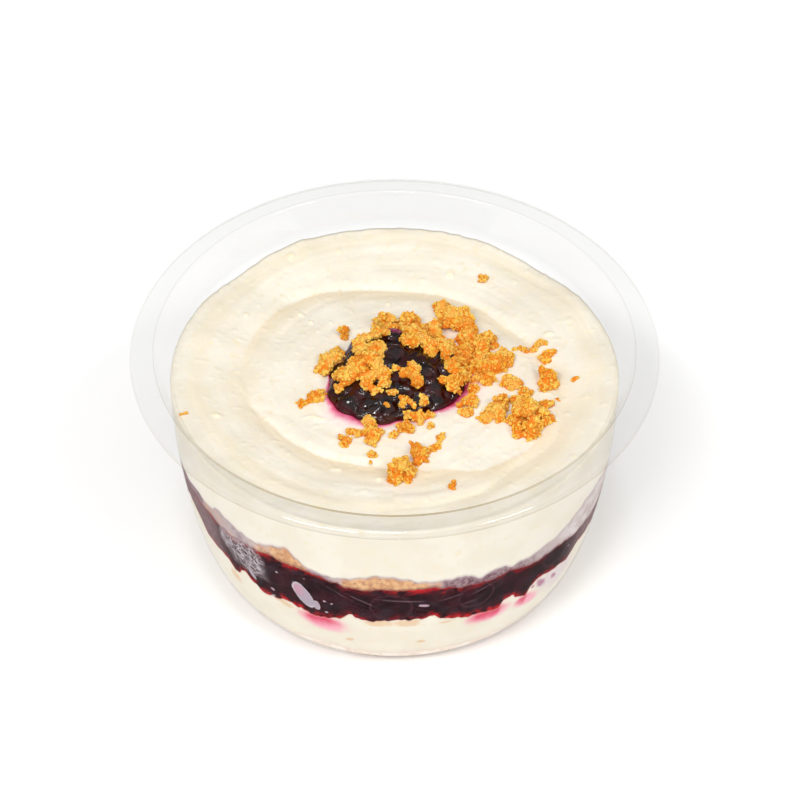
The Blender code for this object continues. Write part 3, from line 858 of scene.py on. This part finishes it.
def dollop_edge(side):
    """Distance of the spoonful's uneven edge from its middle."""
    wobble = round_noise(side, 3.0, 4.0) + 0.5 * round_noise(side, 8.0, 9.0)
    return between(DOLLOP_REACH, side)[0] + 0.45 * wobble


def cream_top(azimuth, radius, edge):
    """Height of the swirled cream."""
    x, y, _ = around(azimuth, radius, 0.0)
    reach = food_radius(edge)
    mean_edge = level((CREAM_EDGE[0], 0.0), azimuth)
    dip, deep = between(DIP, azimuth_off(azimuth, 0.0))
    if radius < dip:
        height = CREAM_MIDDLE - deep * max((radius - FLAT_RADIUS) / (dip - FLAT_RADIUS), 0.0) ** 1.6
    else:
        share = 1.0 - (radius - dip) / (reach - dip)
        height = mean_edge - (mean_edge - CREAM_MIDDLE + deep) * max(share, 0.0) ** 1.3
    height -= CREAM_FALL * y * ease((reach - radius) / 20.0)
    height += (edge - mean_edge) * ease(1.0 - (reach - radius) / 1.2)
    height -= furrow(BACK_ARM, azimuth, radius) + furrow(FRONT_ARM, azimuth, radius)
    wound = radius + azimuth * WINDING
    inward = ease(radius / 14.0) * ease((reach - radius) / 2.0)
    for turns, width, pattern, rise in STREAKS:
        height += rise * inward * round_noise(azimuth, turns, wound / width + pattern)
    place = Vector((x, y, 0.0))
    height += 0.40 * noise.noise(place / 9.0) * inward
    height += 0.40 * max(noise.noise(place / 1.5 + Vector((0, 0, 9.0))) - 0.25, 0.0)
    height += curd(x, y)
    side, away = dollop_side(x, y)
    return height - PRESSED_IN * (1.0 - ease((away - dollop_edge(side) + 1.0) / 5.0))


def paint_cream(azimuth, radius, seam):
    """Marks of the cream: juice by the compote, lower seam, shaded dip, curds, and a yellowish ring by the
    wall that is partly painted shade under the rim.
    """
    x, y, _ = around(azimuth, radius, 0.0)
    side, away = dollop_side(x, y)
    painted = {"juice": (away - dollop_edge(side)) / between(JUICE_REACH, side)[0], "seam": seam,
               "shade": 0.0, "curd": 0.0, "margin_and_rim_shade": 0.0}
    if seam > WALL_SEAM:
        dip, _ = between(DIP, azimuth_off(azimuth, 0.0))
        front = math.cos(math.radians(azimuth))
        unlit = 0.5 - 0.5 * front if radius < dip else 0.5 + 0.5 * front
        painted["shade"] = unlit * math.exp(-(abs(radius - dip) / 5.5) ** 1.5)
        painted["curd"] = min(curd(x, y) / 0.25, 1.0)
        # Yellowish ring by the wall, partly a painted shade cast by the rim; it lies nearer the middle at the
        # front
        painted["margin_and_rim_shade"] = math.exp(-((radius - 44.4 + 2.6 * front) / 2.8) ** 2)
    return painted


def upper_cream_finish():
    """Ivory, with a shaded dip, a yellowish ring by the wall partly painted as shade under the rim, curds and
    flecks, and juice running from pink to red.
    """
    made, tree, out = node_material("upper_cream")
    rough = mottle(tree, 1.4, 7.0, 4.0)
    juice = mark(tree, "juice")
    colour = coats(tree, cream_colour(tree), [
        ((229, 209, 172), mask(tree, "shade", 0.05, 0.95), 0.60),
        # Yellowish and a little darker: painted shade under the rim, with some yellow of the cream's own
        ((230, 216, 182), mask(tree, "margin_and_rim_shade", 0.1, 1.0, mottle(tree, 5.0, 17.0), 1.2), 0.32),
        ((246, 234, 196), mask(tree, "curd", 0.2, 1.0), 0.5),
        ((250, 226, 120), mask(tree, mottle(tree, 1.3, 11.0, 2.0), 0.72, 0.78), 0.4),
        ((247, 222, 218), mask(tree, juice, 3.2, 0.9, rough, 1.4), 0.8),
        ((240, 150, 176), mask(tree, juice, 1.5, 0.5, rough, 0.9), 0.9),
        ((214, 66, 112), mask(tree, juice, 0.85, 0.10, rough, 0.9), 0.85),
        ((150, 16, 52), mask(tree, juice, 0.12, -0.10, rough, 0.3), 1.0),
        ((206, 186, 184), mask(tree, "seam", 0.9, 0.0, rough, 1.0), 0.6)])
    close_finish(tree, out, colour, 0.42, 0.35, mottle(tree, 0.7, 13.0, 4.0), 0.05, soft=0.25)
    return made


def add_upper_cream():
    """Body of the top cream: up the wall from the crumb layer, and over the swirled top."""
    floor = mean_level(CRUMB_TOP)
    points = [(0.0, 0.0, floor), (0.0, 0.0, cream_top(0.0, 0.0, CREAM_MIDDLE))]
    painted = [paint_cream(0.0, 0.0, TOP_SEAM)] * 2
    for j in range(COLUMNS):
        azimuth = 360.0 * j / COLUMNS
        low = level(CRUMB_TOP, azimuth)
        edge = level(CREAM_EDGE, azimuth)
        column = [(food_radius(low) * LEVEL_SHARE, floor, TOP_SEAM),
                  (food_radius(low) - TUCK[0], low - TUCK[1], 0.0)]
        heights = [low + (edge - low) * (k / CREAM_ROWS) for k in range(CREAM_ROWS + 1)]
        column += [(food_radius(height), height, min(height - low, WALL_SEAM)) for height in heights]
        for k in range(1, RINGS):
            radius = food_radius(edge) * (1.0 - k / RINGS)
            column.append((radius, cream_top(azimuth, radius, edge), TOP_SEAM))
        points += [around(azimuth, r, z) for r, z, seam in column]
        painted += [paint_cream(azimuth, r, seam) for r, z, seam in column]
    faces = loft_faces(COLUMNS, CREAM_ROWS + RINGS + 2)
    piece = add_piece("upper_cream", points, faces, upper_cream_finish(), ("upper_cream",))
    add_marks(piece, painted)
    return piece


upper_cream = add_upper_cream()


# ---- Compote dollop ----------------------------------------------------------------------------------
# A spoonful of the same compote on top: soft berries in glossy, nearly black syrup, pressed a little into
# the cream. Bare berry skins look greyish purple, and its thin lower edge lets light through, brown and red.

DOLLOP_HEIGHT = 5.9
DOLLOP_SEAT = 49.9           # height of its outermost edge
DOLLOP_SOLE = 49.3           # height of its underside, sunk in the cream
CREAM_LEVEL = 50.0           # the syrup is thin where it rises little over this
LEAN_AZIMUTH = -72.0         # side on which its skin hangs in folds
DOLLOP_COLUMNS = 420
DOLLOP_ROWS = 84
# Berries under the syrup: x, y, radius, rise
BERRIES_ON_TOP = [(-0.5, 3.5, 3.2, 1.0), (7.0, -3.8, 3.2, 0.9), (-9.5, -6.4, 4.0, 0.8),
                  (2.0, -9.0, 2.4, 0.6), (8.6, -7.6, 2.6, 0.7), (-6.0, -9.4, 4.0, 0.5),
                  (12.4, -1.0, 3.0, 0.7), (-9.4, 8.6, 3.6, 1.6), (-0.8, 11.0, 3.2, 1.6),
                  (5.0, 0.4, 2.8, 0.6), (-3.2, -2.0, 3.0, 0.6), (4.4, 8.0, 4.0, 0.8),
                  (-13.0, -2.4, 2.6, 0.7), (10.0, 5.0, 3.4, 0.7), (-1.4, -0.6, 1.8, 0.5)]
# Bare skins: x, y, reach, and whether it looks pink
SKINS = [(-10.4, 8.8, 4.6, 0), (-12.6, 4.6, 2.6, 0), (-7.6, 5.4, 2.4, 0), (0.2, 11.0, 2.8, 1),
         (3.0, 6.4, 1.8, 1)]


def dollop_point(side, row):
    """Point of the spoonful's surface; row 0 is its outermost edge and the last row its middle."""
    slope = 0.5 * math.pi * row / DOLLOP_ROWS
    out = math.cos(slope) ** 0.80
    up = math.sin(slope) ** 0.95
    x, y, _ = around(side, dollop_edge(side) * out, 0.0, DOLLOP_MIDDLE)
    rise = DOLLOP_HEIGHT * up * (1.0 - 0.22 * ease((side_lean(x, y) + 4.0) / 16.0))
    for px, py, radius, lift in BERRIES_ON_TOP:
        near = 1.0 - ((x - px) ** 2 + (y - py) ** 2) / radius ** 2
        if near > 0.0:
            rise += lift * near ** 0.75 * min(up * 1.6, 1.0)
    return Vector((x, y, DOLLOP_SEAT + rise))


def side_lean(x, y):
    """How far a point lies towards the lower left front of the spoonful."""
    return -0.55 * x - 0.83 * y


def paint_dollop(place):
    """Marks of the spoonful: bare and pink skins, how thin the syrup lies, and its brown front left."""
    nearby = [(1.0 - math.hypot(place.x - x, place.y - y) / reach, pink) for x, y, reach, pink in SKINS]
    return {"bare": max(0.0, *[share for share, pink in nearby if not pink]),
            "blush": max(0.0, *[share for share, pink in nearby if pink]),
            "thin": place.z - CREAM_LEVEL, "brown": ease((side_lean(place.x, place.y) - 4.0) / 8.0)}


def syrup_finish():
    """Nearly black gloss, brown or red where it lies thin, over greyish purple and pink skins."""
    made, tree, out = node_material("compote_dollop")
    coarse = mottle(tree, 2.6, 3.0)
    fine = mottle(tree, 0.9, 8.0, 4.0)
    brown = times(tree, mark(tree, "brown"), mask(tree, mottle(tree, 1.8, 21.0, 3.0), 0.40, 0.66))
    colour = coats(tree, srgb(18, 2, 3), [
        ((50, 8, 9), mask(tree, coarse, 0.42, 0.62), 1.0),
        ((72, 44, 28), times(tree, mask(tree, "thin", 3.0, 0.8, coarse, 2.6), brown), 0.9),
        ((58, 8, 14), mask(tree, "thin", 2.2, 0.7, coarse, 2.0), 0.55),
        ((128, 12, 36), mask(tree, "thin", 0.8, 0.2, fine, 0.8), mask(tree, coarse, 0.42, 0.58)),
        ((88, 74, 98), mask(tree, "bare", 0.15, 0.55, fine, 0.9), 0.85),
        ((148, 46, 84), mask(tree, "blush", 0.2, 0.6, fine, 1.0), 0.8)])
    relief = mask(tree, mottle(tree, 2.4, 5.0, 0.0), 0.40, 0.60)
    close_finish(tree, out, colour, 0.03, 0.42, relief, 0.5)
    return made


def wrinkled(place, side, row):
    """Point of the surface moved in or out by the skin's soft wrinkles, which die out at the edge."""
    wrinkle = noise.noise(place / 3.6) * 0.50 + noise.noise(place / 1.6) * 0.06
    lobe = math.exp(-(azimuth_off(side, LEAN_AZIMUTH) / 30.0) ** 2)
    wrinkle += lobe * 0.35 * abs(noise.noise(Vector((side / 9.0, place.z / 3.0, 2.0))))
    tilt = Vector((place.x - DOLLOP_MIDDLE[0], place.y - DOLLOP_MIDDLE[1], 9.0)).normalized()
    return place + tilt * wrinkle * min(row / 6.0, 1.0)


def add_dollop():
    """Body of the spoonful: two rings of its sunken underside, then rows from its edge up to its middle."""
    points = [(DOLLOP_MIDDLE[0], DOLLOP_MIDDLE[1], DOLLOP_SOLE - 0.1)]
    points.append(tuple(dollop_point(0.0, DOLLOP_ROWS)))
    for j in range(DOLLOP_COLUMNS):
        side = azimuth_off(360.0 * j / DOLLOP_COLUMNS, 0.0)
        for share in (0.75, 0.93):
            points.append(around(side, dollop_edge(side) * share, DOLLOP_SOLE, DOLLOP_MIDDLE))
        for row in range(DOLLOP_ROWS):
            points.append(tuple(wrinkled(dollop_point(side, row), side, row)))
    faces = loft_faces(DOLLOP_COLUMNS, DOLLOP_ROWS + 2)
    piece = add_piece("compote_dollop", points, faces, syrup_finish(), ("compote_dollop",))
    add_marks(piece, [paint_dollop(Vector(point)) for point in points])
    return piece


dollop = add_dollop()


# ---- Baked crumbs ------------------------------------------------------------------------------------
# Coarse golden crumbs of baked biscuit, heaped on the compote and scattered over the cream. Each lump is
# a cluster of rough grains about 1 mm across; Geometry Nodes set grains and finer shards round the cores.

# Patches of each piece: x, y, half width, half depth, thickness of the lumps above their seat
CRUMB_PATCHES = {
    "crumb_heap": [
        (-2.6, 16.4, 2.9, 2.4, 4.2), (3.4, 16.6, 3.3, 2.6, 4.4), (8.4, 14.2, 3.5, 2.8, 4.0),
        (-3.8, 9.4, 2.3, 2.4, 2.1), (4.2, 10.6, 2.6, 2.6, 2.0), (1.4, 13.8, 3.4, 1.5, 2.0),
        (6.7, 7.4, 5.4, 3.3, 2.2), (10.8, 9.6, 3.3, 3.1, 2.1), (12.0, 4.4, 2.8, 3.2, 2.0),
        (7.6, 3.2, 2.2, 1.2, 1.2), (13.8, -2.2, 3.5, 3.3, 2.1), (12.6, -5.0, 2.4, 2.1, 1.8),
        (15.6, 2.6, 2.4, 2.6, 1.9), (-7.8, 6.4, 1.9, 2.2, 1.3), (-5.0, 9.0, 2.5, 1.5, 1.3),
        (-4.8, 3.4, 2.9, 2.9, 2.0), (-6.2, -0.6, 5.0, 3.8, 2.8), (-9.2, -2.8, 4.4, 3.2, 2.4),
        (-4.6, -5.4, 3.4, 2.4, 2.0), (-11.4, -6.2, 1.6, 1.1, 1.1), (-4.6, -8.2, 1.8, 1.1, 1.2),
        (4.0, -2.6, 1.4, 1.8, 1.9), (3.0, -4.6, 2.2, 1.4, 2.0), (4.4, -6.6, 1.6, 1.8, 1.7),
        (0.6, -2.2, 0.8, 0.8, 0.8), (-2.5, -4.4, 1.3, 1.9, 1.6), (-0.4, -9.3, 1.1, 1.1, 1.1),
        (-1.9, -11.9, 0.6, 0.9, 0.8), (2.0, -10.8, 1.0, 1.3, 1.0), (3.9, -11.6, 0.7, 1.1, 0.9),
        (6.8, -10.9, 1.0, 1.9, 1.3),
        (-13.8, 5.4, 3.1, 2.6, 3.2), (-15.6, 1.9, 2.1, 2.1, 2.2), (-12.9, 8.0, 1.4, 1.2, 2.2),
        (-11.2, 14.0, 1.1, 1.9, 2.5), (15.4, 7.0, 2.1, 2.6, 3.2), (-16.4, 3.8, 1.3, 1.1, 1.2)],
    "crumb_arm": [
        (10.8, 23.6, 2.1, 1.9, 2.4), (12.6, 21.2, 2.8, 2.4, 2.5), (15.4, 19.2, 2.7, 2.4, 2.5),
        (16.2, 15.8, 2.4, 2.4, 2.4), (13.4, 16.8, 3.1, 2.4, 3.0), (11.0, 18.4, 2.1, 1.7, 2.2)],
    "crumb_spill": [
        (17.2, 12.4, 2.9, 2.6, 2.8), (20.6, 11.4, 2.8, 2.4, 2.5), (18.8, 8.6, 3.8, 3.1, 3.2),
        (21.8, 4.2, 5.0, 3.9, 3.2), (19.2, 1.4, 3.5, 2.8, 2.8), (24.4, 5.5, 2.1, 2.8, 2.0),
        (19.4, -1.7, 2.9, 1.3, 1.8), (17.8, -4.4, 1.5, 1.5, 1.1), (26.6, -2.1, 3.8, 2.0, 2.0),
        (28.2, -4.9, 2.1, 1.5, 1.8)],
    "crumb_clump_right": [
        (29.6, -13.6, 4.8, 4.2, 5.4), (29.2, -17.6, 3.6, 1.9, 3.2), (33.4, -9.8, 2.2, 1.7, 2.1),
        (27.8, -9.0, 2.2, 1.5, 2.0), (34.6, -12.6, 1.1, 1.6, 1.2)],
    "crumb_clump_front": [
        (1.4, -30.6, 3.5, 3.7, 4.0), (4.6, -25.3, 2.8, 2.5, 2.4), (6.4, -26.6, 1.1, 1.3, 1.2),
        (4.2, -21.6, 1.5, 0.8, 0.8), (9.6, -19.9, 1.5, 1.3, 1.2), (8.8, -22.6, 1.2, 1.7, 1.1)],
    "crumb_clump_side": [(34.2, -0.4, 2.4, 3.1, 3.5), (34.4, -3.4, 1.7, 1.3, 1.9)],
    "crumb_scatter": [
        (16.2, -9.4, 2.2, 2.3, 2.2), (16.0, -12.8, 1.6, 1.5, 1.8), (22.9, -9.6, 2.3, 2.4, 3.2),
        (22.0, -13.0, 2.4, 2.2, 3.0), (19.8, -14.4, 1.5, 1.2, 1.3), (29.5, 9.7, 3.0, 0.9, 0.8),
        (32.6, 11.4, 1.7, 1.1, 1.0), (34.4, 8.1, 1.8, 2.2, 1.1), (-11.2, -20.2, 1.2, 1.6, 1.0),
        (-8.6, -18.3, 2.0, 1.3, 1.2), (-5.4, -15.8, 1.8, 2.0, 2.0), (-5.0, -19.2, 2.2, 2.2, 2.0),
        (-5.6, -21.8, 1.8, 1.1, 1.2), (-5.0, -25.3, 1.0, 2.0, 1.0), (-0.2, -18.5, 1.7, 1.3, 1.2),
        (2.8, -16.1, 2.0, 1.8, 1.8), (5.0, -13.9, 2.6, 1.7, 1.9), (8.2, -12.8, 2.0, 1.1, 1.2),
        (8.0, -16.7, 0.9, 1.4, 0.8), (-20.6, -9.0, 1.7, 1.2, 0.9), (-18.0, -7.0, 2.4, 1.7, 0.9),
        (-16.6, -5.2, 1.3, 0.9, 0.9), (40.4, -0.2, 1.0, 1.0, 0.8), (20.6, 33.5, 1.1, 1.4, 0.9),
        (12.3, -35.2, 1.0, 1.5, 1.0), (-46.4, -12.8, 0.9, 1.1, 0.6), (36.4, -7.0, 0.8, 0.6, 0.4)],
}
LUMP_RADIUS = 1.3
CORE_SHARE = 2.4             # how closely the cores of a tier are packed
TIER_HEIGHT = 1.5
FUSE_SIZE = 0.42             # cell size of the mesh in which the cores are fused
# Named inputs of the tree: how many each square metre, radii in metres and depth of the crags
GRAIN_SIZES = {"Grain Density": 1.5 / MM ** 2, "Grain Smallest": 0.28 * MM, "Grain Largest": 0.64 * MM,
               "Shard Density": 2.4 / MM ** 2, "Shard Smallest": 0.15 * MM, "Shard Largest": 0.33 * MM,
               "Cragginess": 0.6 * MM}
# Crags: how fine, how deep, and whether the grains grow just before them
CRAGS = [(400.0, 1.3, False), (1150.0, 1.2, True), (3000.0, 0.5, False)]


def height_finder(pieces):
    """Function giving the highest point of the pieces at x, y, in mm."""
    trees = []
    for piece in pieces:
        form = bmesh.new()
        form.from_mesh(piece.data)
        trees.append(BVHTree.FromBMesh(form))
        form.free()

    def highest(x, y):
        start = Vector((x * MM, y * MM, 0.2))
        hits = [tree.ray_cast(start, Vector((0.0, 0.0, -1.0)))[0] for tree in trees]
        return max([hit.z / MM for hit in hits if hit is not None] or [CREAM_MIDDLE])

    return highest


def small_ball():
    """Points and faces of a ball of radius 1."""
    form = bmesh.new()
    bmesh.ops.create_icosphere(form, subdivisions=2, radius=1.0)
    points = [tuple(vert.co) for vert in form.verts]
    faces = [tuple(vert.index for vert in face.verts) for face in form.faces]
    form.free()
    return points, faces


def crumb_cores(patches, seat, chance):
    """Points and faces of small uneven cores seated over each patch, in tiers where it is thick."""
    ball_points, ball_faces = small_ball()
    points = []
    faces = []
    for x, y, half_width, half_depth, thickness in patches:
        mean = min(LUMP_RADIUS, max(min(half_width, half_depth) * 0.8, 0.42))
        tiers = max(1, round(thickness / TIER_HEIGHT))
        for tier in range(tiers):
            shrink = 1.0 - 0.5 * tier / tiers
            for n in range(max(3, round(CORE_SHARE * half_width * half_depth * (shrink / mean) ** 2))):
                out = chance.random() ** 0.5 * shrink * min(n, 1)
                turned = chance.uniform(0.0, 2.0 * math.pi)
                size = mean * chance.uniform(0.55, 1.0)
                reach = max(1.0 - 0.15 * size / max(half_width, half_depth), 0.0)
                px = x + half_width * out * math.cos(turned) * reach
                py = y + half_depth * out * math.sin(turned) * reach
                rise = thickness * (1.0 - 0.6 * out ** 2) * (tier + 0.5) / tiers
                centre = (px, py, seat(px, py) + rise - 0.35 * size)
                halves = [size * chance.uniform(0.7, 1.15) for axis in range(3)]
                faces += [tuple(len(points) + corner for corner in face) for face in ball_faces]
                points += [tuple(c + h * p for c, h, p in zip(centre, halves, point))
                           for point in ball_points]
    return points, faces


def lots(tree, low, high, seed=0):
    """Random value for each grain, single or one for each axis."""
    kind, first, result = ("FLOAT_VECTOR", 0, 0) if isinstance(low, tuple) else ("FLOAT", 2, 1)
    feeds = {first: low, first + 1: high, "Seed": seed}
    return put(tree, "FunctionNodeRandomValue", feeds, data_type=kind).outputs[result]


def grain_layer(tree, whole, density, smallest, largest, seed):
    """Rough grains of uneven size and tone over a geometry, as plain mesh joined with it."""
    facing = put(tree, "ShaderNodeSeparateXYZ", {0: put(tree, "GeometryNodeInputNormal", {}).outputs[0]})
    upper = put(tree, "FunctionNodeCompare", {0: facing.outputs["Z"], 1: -0.3}, operation="GREATER_THAN")
    spread = put(tree, "GeometryNodeDistributePointsOnFaces",
                 {"Mesh": whole, "Selection": upper.outputs[0], "Density": density, "Seed": seed})
    ball = put(tree, "GeometryNodeMeshIcoSphere", {"Radius": 1.0, "Subdivisions": 1})
    skewed = calculate(tree, "POWER", lots(tree, 0.0, 1.0, 3), 1.7)
    size = put(tree, "ShaderNodeMapRange", {"Value": skewed, "To Min": smallest, "To Max": largest})
    squash = {0: lots(tree, (0.55, 0.55, 0.55), (1.3, 1.3, 1.3), 7), "Scale": size.outputs["Result"]}
    grains = put(tree, "GeometryNodeInstanceOnPoints",
                 {"Points": spread.outputs["Points"], "Instance": ball.outputs["Mesh"],
                  "Rotation": lots(tree, (0.0, 0.0, 0.0), (6.28, 6.28, 6.28)),
                  "Scale": put(tree, "ShaderNodeVectorMath", squash, operation="SCALE").outputs[0]})
    toned = put(tree, "GeometryNodeStoreNamedAttribute",
                {"Geometry": grains.outputs[0], "Name": "tone", "Value": lots(tree, 0.2, 1.0, 21)},
                data_type="FLOAT", domain="INSTANCE")
    plain = put(tree, "GeometryNodeRealizeInstances", {"Geometry": toned.outputs[0]})
    joined = tree.nodes.new("GeometryNodeJoinGeometry")
    tree.links.new(plain.outputs[0], joined.inputs[0])
    tree.links.new(whole, joined.inputs[0])
    return joined.outputs[0]


def craggy(tree, whole, waves, depth):
    """Geometry whose points noise has pushed about."""
    bumps = put(tree, "ShaderNodeTexNoise", {"Scale": waves, "Detail": 1.0}).outputs["Color"]
    centred = put(tree, "ShaderNodeVectorMath", {0: bumps, 1: (0.5, 0.5, 0.5)}, operation="SUBTRACT")
    offset = put(tree, "ShaderNodeVectorMath", {0: centred.outputs[0], "Scale": depth},
                 operation="SCALE")
    moved = {"Geometry": whole, "Offset": offset.outputs[0]}
    return put(tree, "GeometryNodeSetPosition", moved).outputs[0]


def grain_tree():
    """Geometry Nodes: grains over the cores, both made craggy, and finer shards over them."""
    tree = bpy.data.node_groups.new("baked_grains", "GeometryNodeTree")
    face = tree.interface
    face.new_socket("Geometry", in_out="INPUT", socket_type="NodeSocketGeometry")
    for label in GRAIN_SIZES:
        face.new_socket(label, in_out="INPUT", socket_type="NodeSocketFloat")
    face.new_socket("Seed", in_out="INPUT", socket_type="NodeSocketInt")
    face.new_socket("Finish", in_out="INPUT", socket_type="NodeSocketMaterial")
    face.new_socket("Geometry", in_out="OUTPUT", socket_type="NodeSocketGeometry")
    given = tree.nodes.new("NodeGroupInput").outputs
    whole = given["Geometry"]
    for waves, share, grown_first in CRAGS:
        if grown_first:
            whole = grain_layer(tree, whole, given["Grain Density"], given["Grain Smallest"],
                                given["Grain Largest"], given["Seed"])
        whole = craggy(tree, whole, waves, times(tree, given["Cragginess"], share))
    whole = grain_layer(tree, whole, given["Shard Density"], given["Shard Smallest"],
                        given["Shard Largest"], given["Seed"])
    plain = put(tree, "GeometryNodeRealizeInstances", {"Geometry": whole}).outputs[0]
    final = put(tree, "GeometryNodeSetMaterial", {"Geometry": plain, "Material": given["Finish"]})
    put(tree, "NodeGroupOutput", {0: final.outputs[0]})
    return tree


def crumb_finish():
    """Golden, each grain in a tone of its own, the cores between them deep orange as painted crevice shade,
    with browner and paler patches and specks.
    """
    made, tree, out = node_material("baked_crumb")
    fine = mottle(tree, 0.5, 4.0, 3.0)
    patches = mottle(tree, 5.0, 6.0, 2.0)
    colour = coats(tree, srgb(242, 172, 44), [
        ((250, 203, 90), mask(tree, "tone", 0.3, 0.85), 1.0),
        # Low tones turn deep orange: random for the grains, but the cores carry no tone, so where they show
        # between the grains this is painted shade in the crevices
        ((224, 110, 10), mask(tree, "tone", 0.40, 0.15), 0.8),
        ((230, 132, 26), mask(tree, patches, 0.52, 0.64), 0.65),
        ((246, 200, 98), mask(tree, patches, 0.48, 0.38), 0.5),
        ((210, 104, 22), mask(tree, fine, 0.56, 0.72), 0.45),
        ((252, 214, 124), mask(tree, fine, 0.45, 0.33), 0.6)])
    close_finish(tree, out, colour, 0.7, 0.20, mottle(tree, 0.3, 9.0, 3.0), 0.06, soft=0.3)
    return made


def grow_grains(piece, tree, finish, seed):
    """Fuse a piece's cores, grow the grains on them and keep the result as plain mesh."""
    fuse = piece.modifiers.new("fuse", "REMESH")
    fuse.mode = "VOXEL"
    fuse.voxel_size = FUSE_SIZE * MM
    grow = piece.modifiers.new("grains", "NODES")
    grow.node_group = tree
    sockets = {item.name: item.identifier for item in tree.interface.items_tree if item.in_out == "INPUT"}
    for label, value in GRAIN_SIZES.items():
        grow[sockets[label]] = value
    grow[sockets["Seed"]] = seed
    grow[sockets["Finish"]] = finish
    bpy.context.view_layer.update()
    shaped = piece.evaluated_get(bpy.context.evaluated_depsgraph_get())
    mesh = bpy.data.meshes.new_from_object(shaped)
    piece.modifiers.clear()
    piece.data = mesh
    mesh.shade_flat()


def add_crumbs():
    """Every piece of crumbs, seated on the cream and the compote."""
    seat = height_finder([upper_cream, dollop])
    tree = grain_tree()
    finish = crumb_finish()
    for number, (name, patches) in enumerate(CRUMB_PATCHES.items()):
        points, faces = crumb_cores(patches, seat, random.Random(40 + number))
        stands_for = () if name == "crumb_scatter" else (name,)
        piece = add_piece(name, points, faces, finish, stands_for)
        grow_grains(piece, tree, finish, 5 + number)


add_crumbs()
